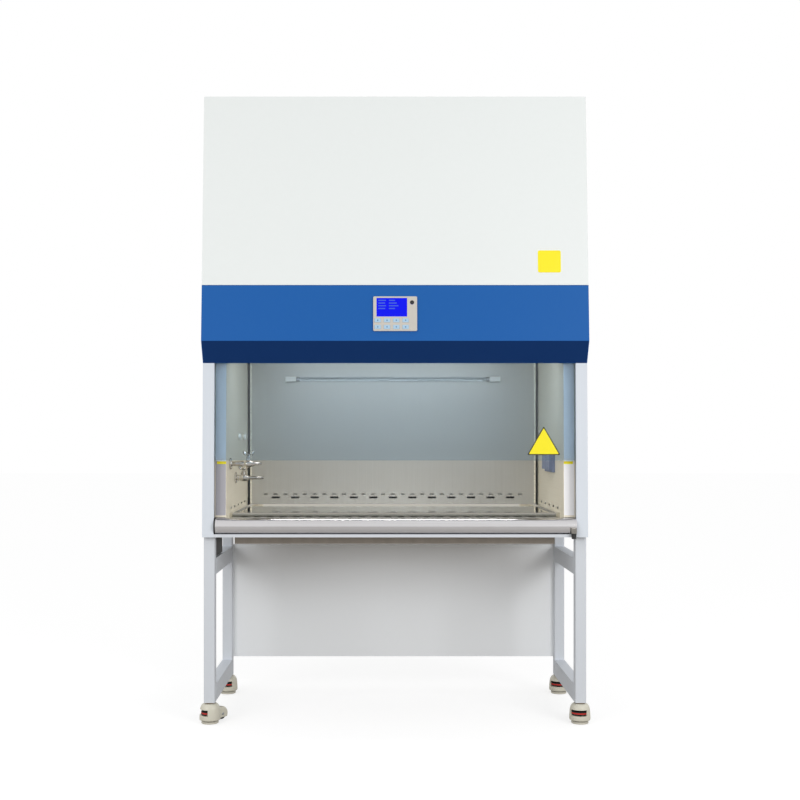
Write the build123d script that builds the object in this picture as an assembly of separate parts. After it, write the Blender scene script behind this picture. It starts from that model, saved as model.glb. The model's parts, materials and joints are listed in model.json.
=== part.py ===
from build123d import *
import os
from math import cos, hypot, radians, sin, tan

# Biosafety cabinet on its stand, millimetres.  +Z is up and +Y runs from the user to the back.
# The origin is on the floor, under the middle of the cabinet.

# ---------------------------------------------------------------- driving dimensions
WIDTH = 1380.0                # cabinet, side to side
DEPTH = 800.0                 # foremost edge of the fascia to the back panel
STAND_HEIGHT = 673.0          # floor to the underside of the cabinet
CABINET_HEIGHT = 1590.0       # underside to top of the cabinet
SHEET = 1.5                   # painted sheet steel
STEEL = 1.2                   # stainless sheet of the work area
RUN = 0.3                     # clearance round anything that slides or turns
MIN_FLATS = 10                # flats of the thinnest turned bar
FLAT_PER_RADIUS = 8.0         # millimetres of radius that add four flats

NOSE_HEIGHT = 701.0           # cabinet underside to the foremost edge of the fascia
NOSE_OVERHANG = 23.0          # foremost edge ahead of the foot of the columns
SOFFIT_HEIGHT = 624.0         # cabinet underside to the low rear edge of the fascia
FASCIA_HEIGHT = 200.0         # foremost edge up to the seam with the hood
LOWER_TILT = 1.8              # lean of the columns and the sash, degrees
UPPER_TILT = 4.63             # lean of the fascia and the hood, degrees
SEAM = 1.0                    # open joint between fascia and hood
HEM = 15.0                    # folded edge of the big panels

COLUMN_WIDTH = 41.0
COLUMN_HEM = 12.0
GLASS_THICKNESS = 6.0
GLASS_SETBACK = 18.0          # column face to the outer face of the glass
GLASS_HEIGHT = 590.0
GLASS_CAPTURE = 11.0          # how far the glass reaches into each guide
GUIDE_WALL = 3.0
GUIDE_RUN = 0.4               # clearance each side of the glass in its guide
SASH_OPENING = 200.0          # work surface to the lower edge of the sash at rest

CHAMBER_SIDE = 80.0            # cabinet side to the wall of the work area
CHAMBER_HEIGHT = 660.0
REAR_PLENUM = 77.0            # rear wall of the work area to the back panel
FLANGE_SETBACK = 40.0         # column face to the front flange of the inner walls
TRAY_HEIGHT = 75.0            # cabinet underside to the work surface
TRAY_RIM = 5.0
TRAY_RIM_WIDTH = 14.0
TRAY_DEPTH = 20.0             # work surface down to the ledges
GRILLE_STEP = 14.0             # intake grille below the work surface
GRILLE_SLOT_COUNT = 24
LEDGE = 18.0                  # shelf of the inner walls that carries the tray
GRILLE_DEPTH = 84.0
CORNER_GAP = 11.0             # air gap at each side of the rear wall

ARMREST_HEIGHT = 68.0
ARMREST_DEPTH = 46.0
ARMREST_BULGE = 8.0           # roll ahead of the foot of the columns
ARMREST_FLAT = 14.0           # start of the flat top behind the foot of the columns
FRONT_RAIL_HEIGHT = 11.0      # painted rail under the armrest
VALVE_NOTCH_WIDTH = 24.0      # room for the drain valve at the right end of the armrest
VALVE_NOTCH_HEIGHT = 36.0
VALVE_RADIUS = 11.0
VALVE_KNOB_HEIGHT = 21.0
OUTLET_RADIUS = 8.0
OUTLET_LENGTH = 19.0
OUTLET_SHOULDER = 1.0         # valve block proud of the hose end below it
OUTLET_TIP = 6.0              # hose end under the block
DRAIN_PIPE_RADIUS = 4.0
SPINDLE_RADIUS = 4.0

BIG_SLOT_LENGTH = 34.0
BIG_SLOT_WIDTH = 8.0
BIG_SLOT_PITCH = 82.0
BIG_SLOT_COUNT = 13
BIG_SLOT_RISE = 32.0          # work surface to the middle of the slots
SMALL_SLOT_LENGTH = 17.0
SMALL_SLOT_WIDTH = 4.0
SMALL_SLOT_RISE = 46.0
SIDE_SLOT_COUNT = 5
SIDE_SLOT_END = 95.0          # last slot of a side wall to the rear wall
SIDE_SLOT_START = 185.0       # foot of the columns to the first slot of a side wall
SIDE_SLOT_RISE = 20.0

PAN_DROP = 32.0               # drain pan below the cabinet
PAN_SIDE = 103.0              # cabinet side to the drain pan
PAN_START = 100.0

SUPPLY_FILTER_THICKNESS = 90.0
SUPPLY_FILTER_LAND = 16.0     # filter frame on the walls at each side
FILTER_RECESS = 10.0          # pleats below the edge of the filter frame
SHELF_RISE = 47.0             # supply filter to the blower shelf
SHELF_START = 80.0            # foot of the columns to the front edge of the blower shelf

PULLEY_RADIUS = 30.0
PULLEY_WIDTH = 20.0
PULLEY_INSET = 20.0           # pulley to the end of the shaft
SHAFT_RADIUS = 8.0
SHAFT_FIT = 0.05
SHAFT_SIDE = 35.0             # cabinet side to the end of the drive shaft
SHAFT_SETBACK = 115.0         # foot of the columns to the shaft
SHAFT_DROP = 95.0             # roof to the shaft
BEARING_RADIUS = 16.0
BEARING_GRIP = 12.0

EXHAUST_WIDTH = 560.0
EXHAUST_DEPTH = 420.0
EXHAUST_THICKNESS = 90.0
EXHAUST_LAND = 20.0
EXHAUST_REAR = 280.0          # back panel to the middle of the outlet
GUARD_HEIGHT = 36.0
GUARD_SLOT_COUNT = 9

BLOWER_WIDTH = 300.0
BLOWER_RADIUS = 190.0         # outer radius of the scroll
BLOWER_REAR = 310.0           # back panel to the blower's axis
BLOWER_RISE = 215.0           # shelf to the blower's axis
BLOWER_OUTLET = 170.0
IMPELLER_RADIUS = 140.0
IMPELLER_WIDTH = 240.0
IMPELLER_EYE = 105.0
BLADE_COUNT = 24
BLADE_DEPTH = 24.0
BLADE_THICKNESS = 2.0
BLADE_LEAN = 35.0
MOTOR_RADIUS = 60.0
MOTOR_LENGTH = 110.0
MOTOR_SHAFT_RADIUS = 8.0
MOTOR_SHAFT_LENGTH = 70.0
HUB_LENGTH = 45.0
BLOWER_CUTOFF = 14.0          # impeller to the tongue of the scroll
SCROLL_STEPS = 14
SCROLL_START = -60.0          # angle of the tongue
SCROLL_SWEEP = 240.0

UV_TUBE_RADIUS = 8.0
UV_TUBE_LENGTH = 808.0
UV_TUBE_HEIGHT = 527.0        # work surface to the tube
UV_HOLDER_WIDTH = 44.0
UV_HOLDER_DEPTH = 30.0
UV_HOLDER_HEIGHT = 20.0
UV_STAND_OFF = 19.0
LAMP_SIDE = 15.0              # wall of the work area to the end of the lamp
LAMP_DEPTH = 38.0
LAMP_HEIGHT = 32.0
LAMP_SETBACK = 84.0

SOCKET_START = 249.0          # foot of the columns to the front of the socket plate
SOCKET_LENGTH = 197.0
SOCKET_HEIGHT = 100.0
SOCKET_RISE = 150.0           # work surface to the foot of the plate
SOCKET_THICKNESS = 10.0
SOCKET_COVER = 84.0           # pin to the lower edge of a cover
SOCKET_COVER_THICKNESS = 12.0
SOCKET_BORE_RADIUS = 24.0
SOCKET_BORE_DEPTH = 8.0
SOCKET_PIN_RADIUS = 2.0
SOCKET_EAR = 5.0

TAP_ROSE_RADIUS = 21.0
TAP_ROSE_THICKNESS = 5.0
TAP_STEM_RADIUS = 9.0
TAP_BODY_RADIUS = 13.0
TAP_BODY_LENGTH = 34.0
TAP_NOZZLE_RADIUS = 5.0
TAP_BARB_RADIUS = 6.5
TAP_BARB_COUNT = 3
TAP_BARB_LENGTH = 7.0
TAP_TIP_LENGTH = 8.0          # plain end of the nozzle past its barbs
TAP_SPINDLE_RADIUS = 4.0
TAP_BONNET_RADIUS = 10.0
TAP_BONNET_HEIGHT = 15.0
TAP_BAR_RADIUS = 4.5
TAP_BAR_LENGTH = 44.0
GAS_TAP_SETBACK = 150.0
GAS_TAP_RISE = 185.0
GAS_TAP_HANDLE_X = 69.0
GAS_TAP_REACH = 117.0
WATER_TAP_SETBACK = 300.0
WATER_TAP_RISE = 128.0
WATER_TAP_HANDLE_X = 32.0
WATER_TAP_REACH = 109.0
PORT_RADIUS = 11.0            # plugged service ports in the left wall
PORT_THICKNESS = 3.0
PORT_RISE = 286.0
PORT_SETBACKS = (384.0, 554.0)

SERVICE_BOX_WIDTH = 32.0
SERVICE_BOX_LENGTH = 160.0
SERVICE_BOX_HEIGHT = 74.0
SERVICE_BOX_START = 75.0
SERVICE_BOX_INSET = 8.0

STAND_INSET = 2.0             # stand inside the cabinet at each side
TUBE = 40.0                   # square tube of the legs
TUBE_WALL = 2.0
TUBE_RADIUS = 4.0
FRONT_LEG_SETBACK = 25.0      # foot of the columns to the front legs
LEG_PITCH = 480.0
CASTER_HEIGHT = 75.0
LOW_RAIL_HEIGHT = 62.0
HIGH_RAIL_HEIGHT = 58.0
HIGH_RAIL_TOP = 80.0          # cabinet underside to the top of the high rail
REAR_PANEL_TOP = 74.0         # cabinet underside to the top of the rear panel
REAR_PANEL_HEIGHT = 452.0
REAR_PANEL_FLANGE = 18.0

CASTER_RADIUS = 38.0
CASTER_NECK_RADIUS = 27.0
CASTER_SKIRT = 12.0           # floor to the skirt of the housing
CASTER_COLLAR = 4.0           # steel collar between housing and leg
CASTER_WALL = 3.0
STEM_RADIUS = 6.0
STEM_LENGTH = 16.0
WHEEL_RADIUS = 20.0
WHEEL_WIDTH = 16.0
WHEEL_LIFT = 4.0              # wheel off the floor while the foot is down
WHEEL_OFFSET = 52.0           # swivel axis to the wheel's centre
AXLE_RADIUS = 4.0
PAD_RADIUS = 31.0
PAD_HEIGHT = 9.0
SCREW_RADIUS = 6.0
DIAL_RADIUS = 32.0
DIAL_HEIGHT = 10.0
DIAL_RISE = 33.0              # floor to the underside of the dial
WINDOW_WIDTH = 56.0
WINDOW_MARGIN = 3.0           # window past the dial's travel, above and below
FOOT_TRAVEL = 8.0             # foot drawn up until the cabinet rolls on its wheels
NUT_ENGAGEMENT = 10.0         # screw held in the housing while the foot is down

BEZEL_WIDTH = 156.0
BEZEL_HEIGHT = 124.0
BEZEL_THICKNESS = 6.0
BEZEL_CORNER = 4.0
BEZEL_RISE = 96.0             # foremost edge to the middle of the bezel
DISPLAY_WIDTH = 109.0
DISPLAY_HEIGHT = 67.0
DISPLAY_X = -12.0
DISPLAY_RISE = 23.0           # middle of the bezel to the middle of the display
EYE_RADIUS = 7.5              # infrared window beside the display
EYE_X = 60.0
EYE_RISE = 40.0
KEY_WIDTH = 22.0
KEY_HEIGHT = 14.0
KEY_PITCH_X = 33.0
KEY_PITCH_Z = 24.0
KEY_FIRST_X = -62.0
KEY_FIRST_DROP = 24.0         # middle of the bezel down to the upper row of keys
KEY_STAND_OUT = 1.2
KEY_TRAVEL = 1.0

# ---------------------------------------------------------------- places worked out from them
BASE = STAND_HEIGHT
TOP = STAND_HEIGHT + CABINET_HEIGHT
HALF = WIDTH / 2
CHAMBER_WIDTH = WIDTH - 2 * CHAMBER_SIDE
CHAMBER_REAR = DEPTH - NOSE_OVERHANG - REAR_PLENUM      # foot of the columns to the rear wall
PAN_WIDTH = WIDTH - 2 * PAN_SIDE
LAMP_WIDTH = CHAMBER_WIDTH - 2 * LAMP_SIDE
SHAFT_HALF = HALF - SHAFT_SIDE
SIDE_SLOT_PITCH = (CHAMBER_REAR - SIDE_SLOT_START - SIDE_SLOT_END) / (SIDE_SLOT_COUNT - 1)
LAST_KEY_RISE = BEZEL_RISE - KEY_FIRST_DROP - KEY_PITCH_Z - KEY_HEIGHT / 2
KEY_FACE = BEZEL_THICKNESS + KEY_STAND_OUT
KEYS_AHEAD = KEY_FACE * cos(radians(UPPER_TILT)) - LAST_KEY_RISE * sin(radians(UPPER_TILT))
REAR = (DEPTH + KEYS_AHEAD) / 2           # the keys stand ahead of the fascia's edge
NOSE_Y = REAR - DEPTH
FRONT = NOSE_Y + NOSE_OVERHANG            # foot of the columns
NOSE = BASE + NOSE_HEIGHT
SOFFIT = BASE + SOFFIT_HEIGHT
HOOD_SEAM = NOSE + FASCIA_HEIGHT
TRAY = BASE + TRAY_HEIGHT
CEILING = TRAY + CHAMBER_HEIGHT
SHELF = CEILING + SUPPLY_FILTER_THICKNESS + SHELF_RISE
ARMREST_TOP = BASE + ARMREST_HEIGHT
WALL_X = CHAMBER_WIDTH / 2
REAR_WALL = FRONT + CHAMBER_REAR
OPENING_X = HALF - COLUMN_WIDTH
PAN_REAR = REAR_WALL - 4 * LEDGE
LEG_X = HALF - STAND_INSET - TUBE / 2
FRONT_LEG_Y = FRONT + FRONT_LEG_SETBACK + TUBE / 2
REAR_LEG_Y = FRONT_LEG_Y + LEG_PITCH
HIGH_RAIL = BASE - HIGH_RAIL_TOP
GUIDE_X = OPENING_X + GLASS_CAPTURE + GUIDE_RUN     # bottom of the slot in each sash guide
GLASS_X = OPENING_X + GLASS_CAPTURE
GLASS_LOW = TRAY + SASH_OPENING
SHAFT_Y = FRONT + SHAFT_SETBACK
SHAFT_Z = TOP - SHAFT_DROP
BLOWER_Z = SHELF + BLOWER_RISE
BLOWER_Y = REAR - BLOWER_REAR
EXHAUST_Y = REAR - EXHAUST_REAR
SOCKET_Y = (FRONT + SOCKET_START, FRONT + SOCKET_START + SOCKET_LENGTH)
COVER_SPAN = (SOCKET_LENGTH - 3 * SOCKET_EAR) / 2
COVER_Y = (
    (SOCKET_Y[0] + SOCKET_EAR, SOCKET_Y[0] + SOCKET_EAR + COVER_SPAN),
    (SOCKET_Y[1] - SOCKET_EAR - COVER_SPAN, SOCKET_Y[1] - SOCKET_EAR),
)
COVER_HALF = SOCKET_COVER_THICKNESS / 2 - RUN
PIVOT_X = WALL_X - SOCKET_THICKNESS - SOCKET_COVER_THICKNESS / 2
PIVOT_Z = TRAY + SOCKET_RISE + SOCKET_HEIGHT - SOCKET_COVER_THICKNESS / 2
COVER_MIDDLE_Z = PIVOT_Z - SOCKET_COVER / 2
GRILLE_REAR = FRONT + ARMREST_DEPTH + SHEET + RUN + GRILLE_DEPTH
VALVE_X = OPENING_X - VALVE_NOTCH_WIDTH / 2
VALVE_Y = FRONT - VALVE_RADIUS + RUN
SPOUT_TOP = BASE + VALVE_NOTCH_HEIGHT - 2 * RUN - VALVE_KNOB_HEIGHT
OUTLET_BLOCK_Z = SPOUT_TOP - OUTLET_LENGTH + OUTLET_TIP
DRAIN_PIPE_Z = BASE + SHEET + DRAIN_PIPE_RADIUS + RUN

# Planes that lean with the front: u runs to the right, v up the slope, w out to the user.
LOWER_DIRECTION = (0, sin(radians(LOWER_TILT)), cos(radians(LOWER_TILT)))
FASCIA_FACE = Plane(
    origin=(0, NOSE_Y, NOSE),
    x_dir=(1, 0, 0),
    z_dir=(0, -cos(radians(UPPER_TILT)), sin(radians(UPPER_TILT))),
)
# Sections across the columns: u runs to the right, v back into the cabinet.
COLUMN_SECTION = Plane(origin=(0, FRONT, BASE), x_dir=(1, 0, 0), z_dir=LOWER_DIRECTION)


# ---------------------------------------------------------------- shared shapes
def block(x, y, z):
    """A rectangular solid from three (low, high) pairs."""
    size = Box(x[1] - x[0], y[1] - y[0], z[1] - z[0])
    return Pos((x[0] + x[1]) / 2, (y[0] + y[1]) / 2, (z[0] + z[1]) / 2) * size


def along_x(outline, x):
    """A closed (y, z) outline carried from x[0] to x[1]."""
    plane = Plane(origin=(x[0], 0, 0), x_dir=(0, 1, 0), z_dir=(1, 0, 0))
    return plane * extrude(make_face(Polyline(*outline, close=True)), x[1] - x[0])


def folded(path, thickness):
    """Closed outline of a sheet bent along path, with its thickness on the left of the path."""
    runs = [(b[0] - a[0], b[1] - a[1]) for a, b in zip(path, path[1:])]
    sides = [(-dy / hypot(dx, dy), dx / hypot(dx, dy)) for dx, dy in runs]
    before = [sides[0]] + sides
    after = sides + [sides[-1]]
    inner = []
    for point, a, b in zip(path, before, after):
        reach = thickness / (1 + a[0] * b[0] + a[1] * b[1])
        inner.append((point[0] + reach * (a[0] + b[0]), point[1] + reach * (a[1] + b[1])))
    return list(path) + inner[::-1]


def up_column(outline, rise):
    """A closed section carried up the lean of the columns between two heights."""
    slope = cos(radians(LOWER_TILT))
    body = extrude(make_face(Polyline(*outline, close=True)), (rise[1] - rise[0]) / slope)
    start = (rise[0] - BASE) / slope
    return COLUMN_SECTION * (Pos(0, 0, start) * body)


def rectangle(u, v):
    """Closed outline of a rectangle from two (low, high) pairs."""
    return [(u[0], v[0]), (u[1], v[0]), (u[1], v[1]), (u[0], v[1])]


def lower_y(z):
    """The column face at height z."""
    return FRONT + (z - BASE) * tan(radians(LOWER_TILT))


def upper_y(z):
    """The fascia and hood face at height z."""
    return NOSE_Y + (z - NOSE) * tan(radians(UPPER_TILT))


def flats(radius):
    """How many flats a turned piece of this radius has."""
    return 4 * round(MIN_FLATS / 4 + radius / FLAT_PER_RADIUS)


def rod(start, direction, radius, length):
    """A turned bar from start along direction, its corners on the radius."""
    plane = Plane(origin=start, z_dir=direction)
    return plane * extrude(RegularPolygon(radius, flats(radius)), length)


def hole(start, direction, radius, length):
    """The room for a turned bar, its flats on the radius."""
    plane = Plane(origin=start, z_dir=direction)
    return plane * extrude(RegularPolygon(radius, flats(radius), major_radius=False), length)


def pin(start, direction, radius, length):
    """A truly round bar, for the ends that take a hose."""
    plane = Plane(origin=start, z_dir=direction)
    return plane * extrude(Circle(radius), length)


def tapered(start, direction, radius, end_radius, length):
    """A frustum from start along direction, its corners on the radii."""
    count = flats(max(radius, end_radius))
    ends = [RegularPolygon(radius, count), Pos(0, 0, length) * RegularPolygon(end_radius, count)]
    return Plane(origin=start, z_dir=direction) * loft(ends, ruled=True)


def softened(width, depth, radius):
    """Rectangle about the origin whose corners are turned in three short flats."""
    x, y = width / 2, depth / 2
    near = radius * (1 - sin(radians(60)))
    far = radius * (1 - cos(radians(60)))
    corner = [(x, y - radius), (x - near, y - far), (x - far, y - near), (x - radius, y)]
    outline = list(corner)
    outline += [(-a, b) for a, b in corner[::-1]]
    outline += [(-a, -b) for a, b in corner]
    outline += [(a, -b) for a, b in corner[::-1]]
    return make_face(Polyline(*outline, close=True))


def mirrored(shape):
    """The same shape on the other side of the cabinet."""
    return mirror(shape, about=Plane.YZ)


def save(name, shape):
    """Write one node, its solids kept apart, as a STEP file."""
    shape.label = name
    export_step(shape, os.path.join("parts", name + ".step"))


# ---------------------------------------------------------------- stand
def square_tube(x, y, z, inner=False):
    """Upright leg tube, or the space inside it."""
    side = TUBE - 2 * TUBE_WALL if inner else TUBE
    section = Rectangle(side, side) if inner else softened(side, side, TUBE_RADIUS)
    return Pos(x, y, z[0]) * extrude(section, z[1] - z[0])


def side_frame():
    """Right-hand welded frame: two legs, two rails, and an end plate in the foot of each leg."""
    legs = (FRONT_LEG_Y, REAR_LEG_Y)
    height = (CASTER_HEIGHT, BASE)
    rails = ((CASTER_HEIGHT, CASTER_HEIGHT + LOW_RAIL_HEIGHT), (HIGH_RAIL - HIGH_RAIL_HEIGHT, HIGH_RAIL))
    frame = None
    for y in legs:
        leg = square_tube(LEG_X, y, height)
        frame = leg if frame is None else frame + leg
    run = (FRONT_LEG_Y, REAR_LEG_Y)
    for rail in rails:
        frame += block((LEG_X - TUBE / 2, LEG_X + TUBE / 2), run, rail)
    plate = 3 * TUBE_WALL
    for y in legs:
        frame -= square_tube(LEG_X, y, (CASTER_HEIGHT + plate, BASE), inner=True)
    for rail in rails:
        x = (LEG_X - TUBE / 2 + TUBE_WALL, LEG_X + TUBE / 2 - TUBE_WALL)
        z = (rail[0] + (plate if rail is rails[0] else TUBE_WALL), rail[1] - TUBE_WALL)
        frame -= block(x, run, z)
    for y in legs:
        frame -= hole((LEG_X, y, CASTER_HEIGHT), (0, 0, 1), STEM_RADIUS + RUN, plate)
    return frame


def stand_rear_panel():
    """Sheet between the rear legs, its four edges folded back."""
    x = LEG_X - TUBE / 2
    z = (BASE - REAR_PANEL_TOP - REAR_PANEL_HEIGHT, BASE - REAR_PANEL_TOP)
    y = (REAR_LEG_Y, REAR_LEG_Y + REAR_PANEL_FLANGE)
    panel = block((-x, x), y, z)
    inside = block((-x + SHEET, x - SHEET), (y[0] + SHEET, y[1]), (z[0] + SHEET, z[1] - SHEET))
    return panel - inside


# ---------------------------------------------------------------- levelling casters
# Each is built with its swivel axis on the origin and its wheel towards +Y, then turned.
DIAL_ROOM_TOP = DIAL_RISE + DIAL_HEIGHT + FOOT_TRAVEL + RUN
SCREW_TOP = DIAL_ROOM_TOP + NUT_ENGAGEMENT
WHEEL_CENTRE = WHEEL_LIFT + WHEEL_RADIUS


def caster_hood():
    """Turned hood over the dial: a skirt that leans in, and a steeper crown above it."""
    up = (0, 0, 1)
    waist = DIAL_ROOM_TOP + CASTER_WALL
    rise = CASTER_HEIGHT - CASTER_COLLAR - waist
    shoulder = CASTER_RADIUS - CASTER_WALL
    skirt = tapered((0, 0, CASTER_SKIRT), up, CASTER_RADIUS, shoulder, waist - CASTER_SKIRT)
    return skirt + tapered((0, 0, waist), up, shoulder, CASTER_NECK_RADIUS, rise)


def caster_fender():
    """Mudguard over the wheel, with the arm that joins it to the hood."""
    cheek = WHEEL_WIDTH / 2 + RUN + CASTER_WALL
    radius = WHEEL_RADIUS + 2 * RUN + 2 * CASTER_WALL
    guard = rod((-cheek, WHEEL_OFFSET, WHEEL_CENTRE), (1, 0, 0), radius, 2 * cheek)
    arm = block((-cheek, cheek), (0, WHEEL_OFFSET), (CASTER_SKIRT, WHEEL_CENTRE + radius))
    low = block((-2 * cheek, 2 * cheek), (0, 3 * WHEEL_OFFSET), (-2 * radius, CASTER_SKIRT))
    return guard + arm - low


def caster_body():
    """Housing of hood and fender, with the swivel collar, the stem and the axle."""
    neck = CASTER_HEIGHT - CASTER_COLLAR
    cheek = WHEEL_WIDTH / 2 + RUN + CASTER_WALL
    half = WHEEL_WIDTH / 2 + RUN
    reach = WHEEL_RADIUS + 2 * RUN
    body = caster_hood() + caster_fender()
    body -= hole((0, 0, 0), (0, 0, 1), DIAL_RADIUS + RUN, DIAL_ROOM_TOP)
    body -= hole((0, 0, 0), (0, 0, 1), SCREW_RADIUS + RUN, SCREW_TOP + FOOT_TRAVEL + RUN)
    body -= block((-WINDOW_WIDTH / 2, WINDOW_WIDTH / 2), (-CASTER_RADIUS, 0),
                  (DIAL_RISE - WINDOW_MARGIN, DIAL_ROOM_TOP))
    body -= hole((-half, WHEEL_OFFSET, WHEEL_CENTRE), (1, 0, 0), reach, 2 * half)
    body -= block((-half, half), (WHEEL_OFFSET - reach, WHEEL_OFFSET + reach), (0, WHEEL_CENTRE))
    body += rod((0, 0, neck), (0, 0, 1), TUBE / 2 - TUBE_WALL, CASTER_COLLAR - RUN)
    body += rod((0, 0, neck), (0, 0, 1), STEM_RADIUS, CASTER_COLLAR + STEM_LENGTH)
    body += rod((-cheek, WHEEL_OFFSET, WHEEL_CENTRE), (1, 0, 0), AXLE_RADIUS, 2 * cheek)
    return body


def caster_wheel():
    """Roller with a bore for its axle."""
    half = WHEEL_WIDTH / 2
    wheel = rod((-half, WHEEL_OFFSET, WHEEL_CENTRE), (1, 0, 0), WHEEL_RADIUS, WHEEL_WIDTH)
    return wheel - hole((-half, WHEEL_OFFSET, WHEEL_CENTRE), (1, 0, 0), AXLE_RADIUS + RUN / 3, WHEEL_WIDTH)


def leveling_foot():
    """Rubber pad on a screw with the knurled dial that winds it down."""
    pad = rod((0, 0, 0), (0, 0, 1), PAD_RADIUS, PAD_HEIGHT)
    screw = rod((0, 0, PAD_HEIGHT), (0, 0, 1), SCREW_RADIUS, SCREW_TOP - PAD_HEIGHT)
    dial = rod((0, 0, DIAL_RISE), (0, 0, 1), DIAL_RADIUS, DIAL_HEIGHT)
    return pad + screw + dial


CASTERS = {                   # corner: (axis x, axis y, turn about the swivel axis in degrees)
    "front_left": (-LEG_X, FRONT_LEG_Y, -40),
    "front_right": (LEG_X, FRONT_LEG_Y, 0),
    "rear_left": (-LEG_X, REAR_LEG_Y, 0),
    "rear_right": (LEG_X, REAR_LEG_Y, 0),
}


# ---------------------------------------------------------------- outer panels
def fascia_path():
    """Bend line of the fascia, from its low rear edge round the nose to the seam."""
    lip = (lower_y(SOFFIT) + HEM * sin(radians(LOWER_TILT)), SOFFIT + HEM)
    top = HOOD_SEAM - SEAM
    return [lip, (lower_y(SOFFIT), SOFFIT), (NOSE_Y, NOSE), (upper_y(top), top),
            (upper_y(top) + HEM, top)]


def hood_path():
    """Bend line of the hood front, with a fold at the seam and one at the top."""
    return [(upper_y(HOOD_SEAM) + HEM, HOOD_SEAM), (upper_y(HOOD_SEAM), HOOD_SEAM),
            (upper_y(TOP), TOP), (upper_y(TOP) + HEM, TOP)]


def control_fascia():
    """Folded channel across the front that carries the controls."""
    path = fascia_path()[::-1]
    return along_x(folded(path, SHEET), (-HALF, HALF))


def hood_front_panel():
    """Upper front panel above the seam."""
    path = hood_path()[::-1]
    return along_x(folded(path, SHEET), (-HALF, HALF))


def top_panel():
    """Roof with the outlet for the cleaned air."""
    y = (upper_y(TOP) + HEM, REAR)
    roof = block((-HALF, HALF), y, (TOP - SHEET, TOP))
    outlet_x = EXHAUST_WIDTH / 2 - EXHAUST_LAND
    outlet_y = EXHAUST_DEPTH / 2 - EXHAUST_LAND
    middle = EXHAUST_Y
    return roof - block((-outlet_x, outlet_x), (middle - outlet_y, middle + outlet_y), (TOP - HEM, TOP))


def back_panel():
    """Flat back of the cabinet."""
    return block((-HALF, HALF), (REAR - SHEET, REAR), (BASE, TOP - SHEET))


def side_panel():
    """Right-hand side: the skin, the front column with its hem, and the shaft bearing."""
    outline = [
        (lower_y(BASE), BASE),
        (lower_y(SOFFIT), SOFFIT),
        (NOSE_Y, NOSE),
        (upper_y(TOP), TOP),
        (REAR, TOP),
        (REAR, BASE),
    ]
    skin = along_x(outline, (HALF - SHEET, HALF))
    for cover in (control_fascia(), hood_front_panel(), top_panel(), back_panel()):
        skin -= cover
    column = [(HALF - SHEET, 0), (OPENING_X, 0), (OPENING_X, COLUMN_HEM)]
    column = up_column(folded(column[::-1], SHEET), (BASE, SOFFIT))
    column -= block((0, HALF), (FRONT - SHEET, FRONT + HEM), (BASE - HEM, BASE))
    column -= block((0, HALF), (FRONT + SHEET, FRONT + HEM), (BASE, BASE + SHEET))
    panel = skin + column
    bearing = (SHAFT_HALF - BEARING_GRIP, SHAFT_Y, SHAFT_Z)
    panel += rod(bearing, (1, 0, 0), BEARING_RADIUS, HALF - SHEET - bearing[0])
    panel -= hole(bearing, (1, 0, 0), SHAFT_RADIUS + SHAFT_FIT, BEARING_GRIP + RUN)
    return panel


def base_pan():
    """Floor of the cabinet with the hanging drain pan, the front rail and two upstands."""
    x = HALF - SHEET
    floor = block((-x, x), (FRONT + SHEET, REAR - SHEET), (BASE, BASE + SHEET))
    pan_y = (FRONT + PAN_START, PAN_REAR)
    bottom = BASE - PAN_DROP
    pan = block((-PAN_WIDTH / 2, PAN_WIDTH / 2), pan_y, (bottom, BASE + SHEET))
    hollow_x = PAN_WIDTH / 2 - SHEET
    hollow_y = (pan_y[0] + SHEET, pan_y[1] - SHEET)
    hollow = block((-hollow_x, hollow_x), hollow_y, (bottom + SHEET, BASE + HEM))
    rail_z = (BASE + SHEET, BASE + FRONT_RAIL_HEIGHT)
    rail = block((-OPENING_X, OPENING_X), (FRONT, FRONT + SHEET), (BASE, rail_z[1]))
    pipe_x = (VALVE_X - DRAIN_PIPE_RADIUS - RUN, VALVE_X + DRAIN_PIPE_RADIUS + RUN)
    rail -= block(pipe_x, (FRONT - SHEET, FRONT + 2 * SHEET), rail_z)
    front_y = (FRONT + ARMREST_DEPTH, FRONT + ARMREST_DEPTH + SHEET)
    front = block((-OPENING_X, OPENING_X), front_y, (BASE, ARMREST_TOP))
    rear_y = (REAR_WALL + STEEL, REAR_WALL + STEEL + SHEET)
    rear_x = WALL_X - CORNER_GAP
    rear = block((-rear_x, rear_x), rear_y, (BASE, TRAY))
    return floor + pan + rail + front + rear - hollow


def armrest_section(inset):
    """The armrest's closed (y, z) section, drawn in by inset."""
    rear = FRONT + ARMREST_DEPTH
    top = ARMREST_TOP - inset
    bottom = BASE + FRONT_RAIL_HEIGHT + inset
    middle = (top + bottom) / 2
    start = (FRONT + ARMREST_FLAT, top)
    nose = (FRONT - ARMREST_BULGE + inset, middle)
    heel = (FRONT + ARMREST_FLAT / 2, bottom)
    roll = ThreePointArc(start, nose, heel)
    back = Polyline(heel, (rear, bottom), (rear, top), start)
    return make_face(Curve() + [roll, back])


def armrest():
    """Rolled stainless front edge, cut away under its right end for the drain valve."""
    across = Plane(origin=(-OPENING_X, 0, 0), x_dir=(0, 1, 0), z_dir=(1, 0, 0))
    roll = across * extrude(armrest_section(0), 2 * OPENING_X)
    hollow = across * extrude(armrest_section(STEEL), 2 * OPENING_X)
    notch_x = (OPENING_X - VALVE_NOTCH_WIDTH, OPENING_X)
    notch_y = (FRONT - DEPTH, FRONT + ARMREST_DEPTH)
    notch = block(notch_x, notch_y, (BASE, BASE + VALVE_NOTCH_HEIGHT))
    return roll - hollow - notch


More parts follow.
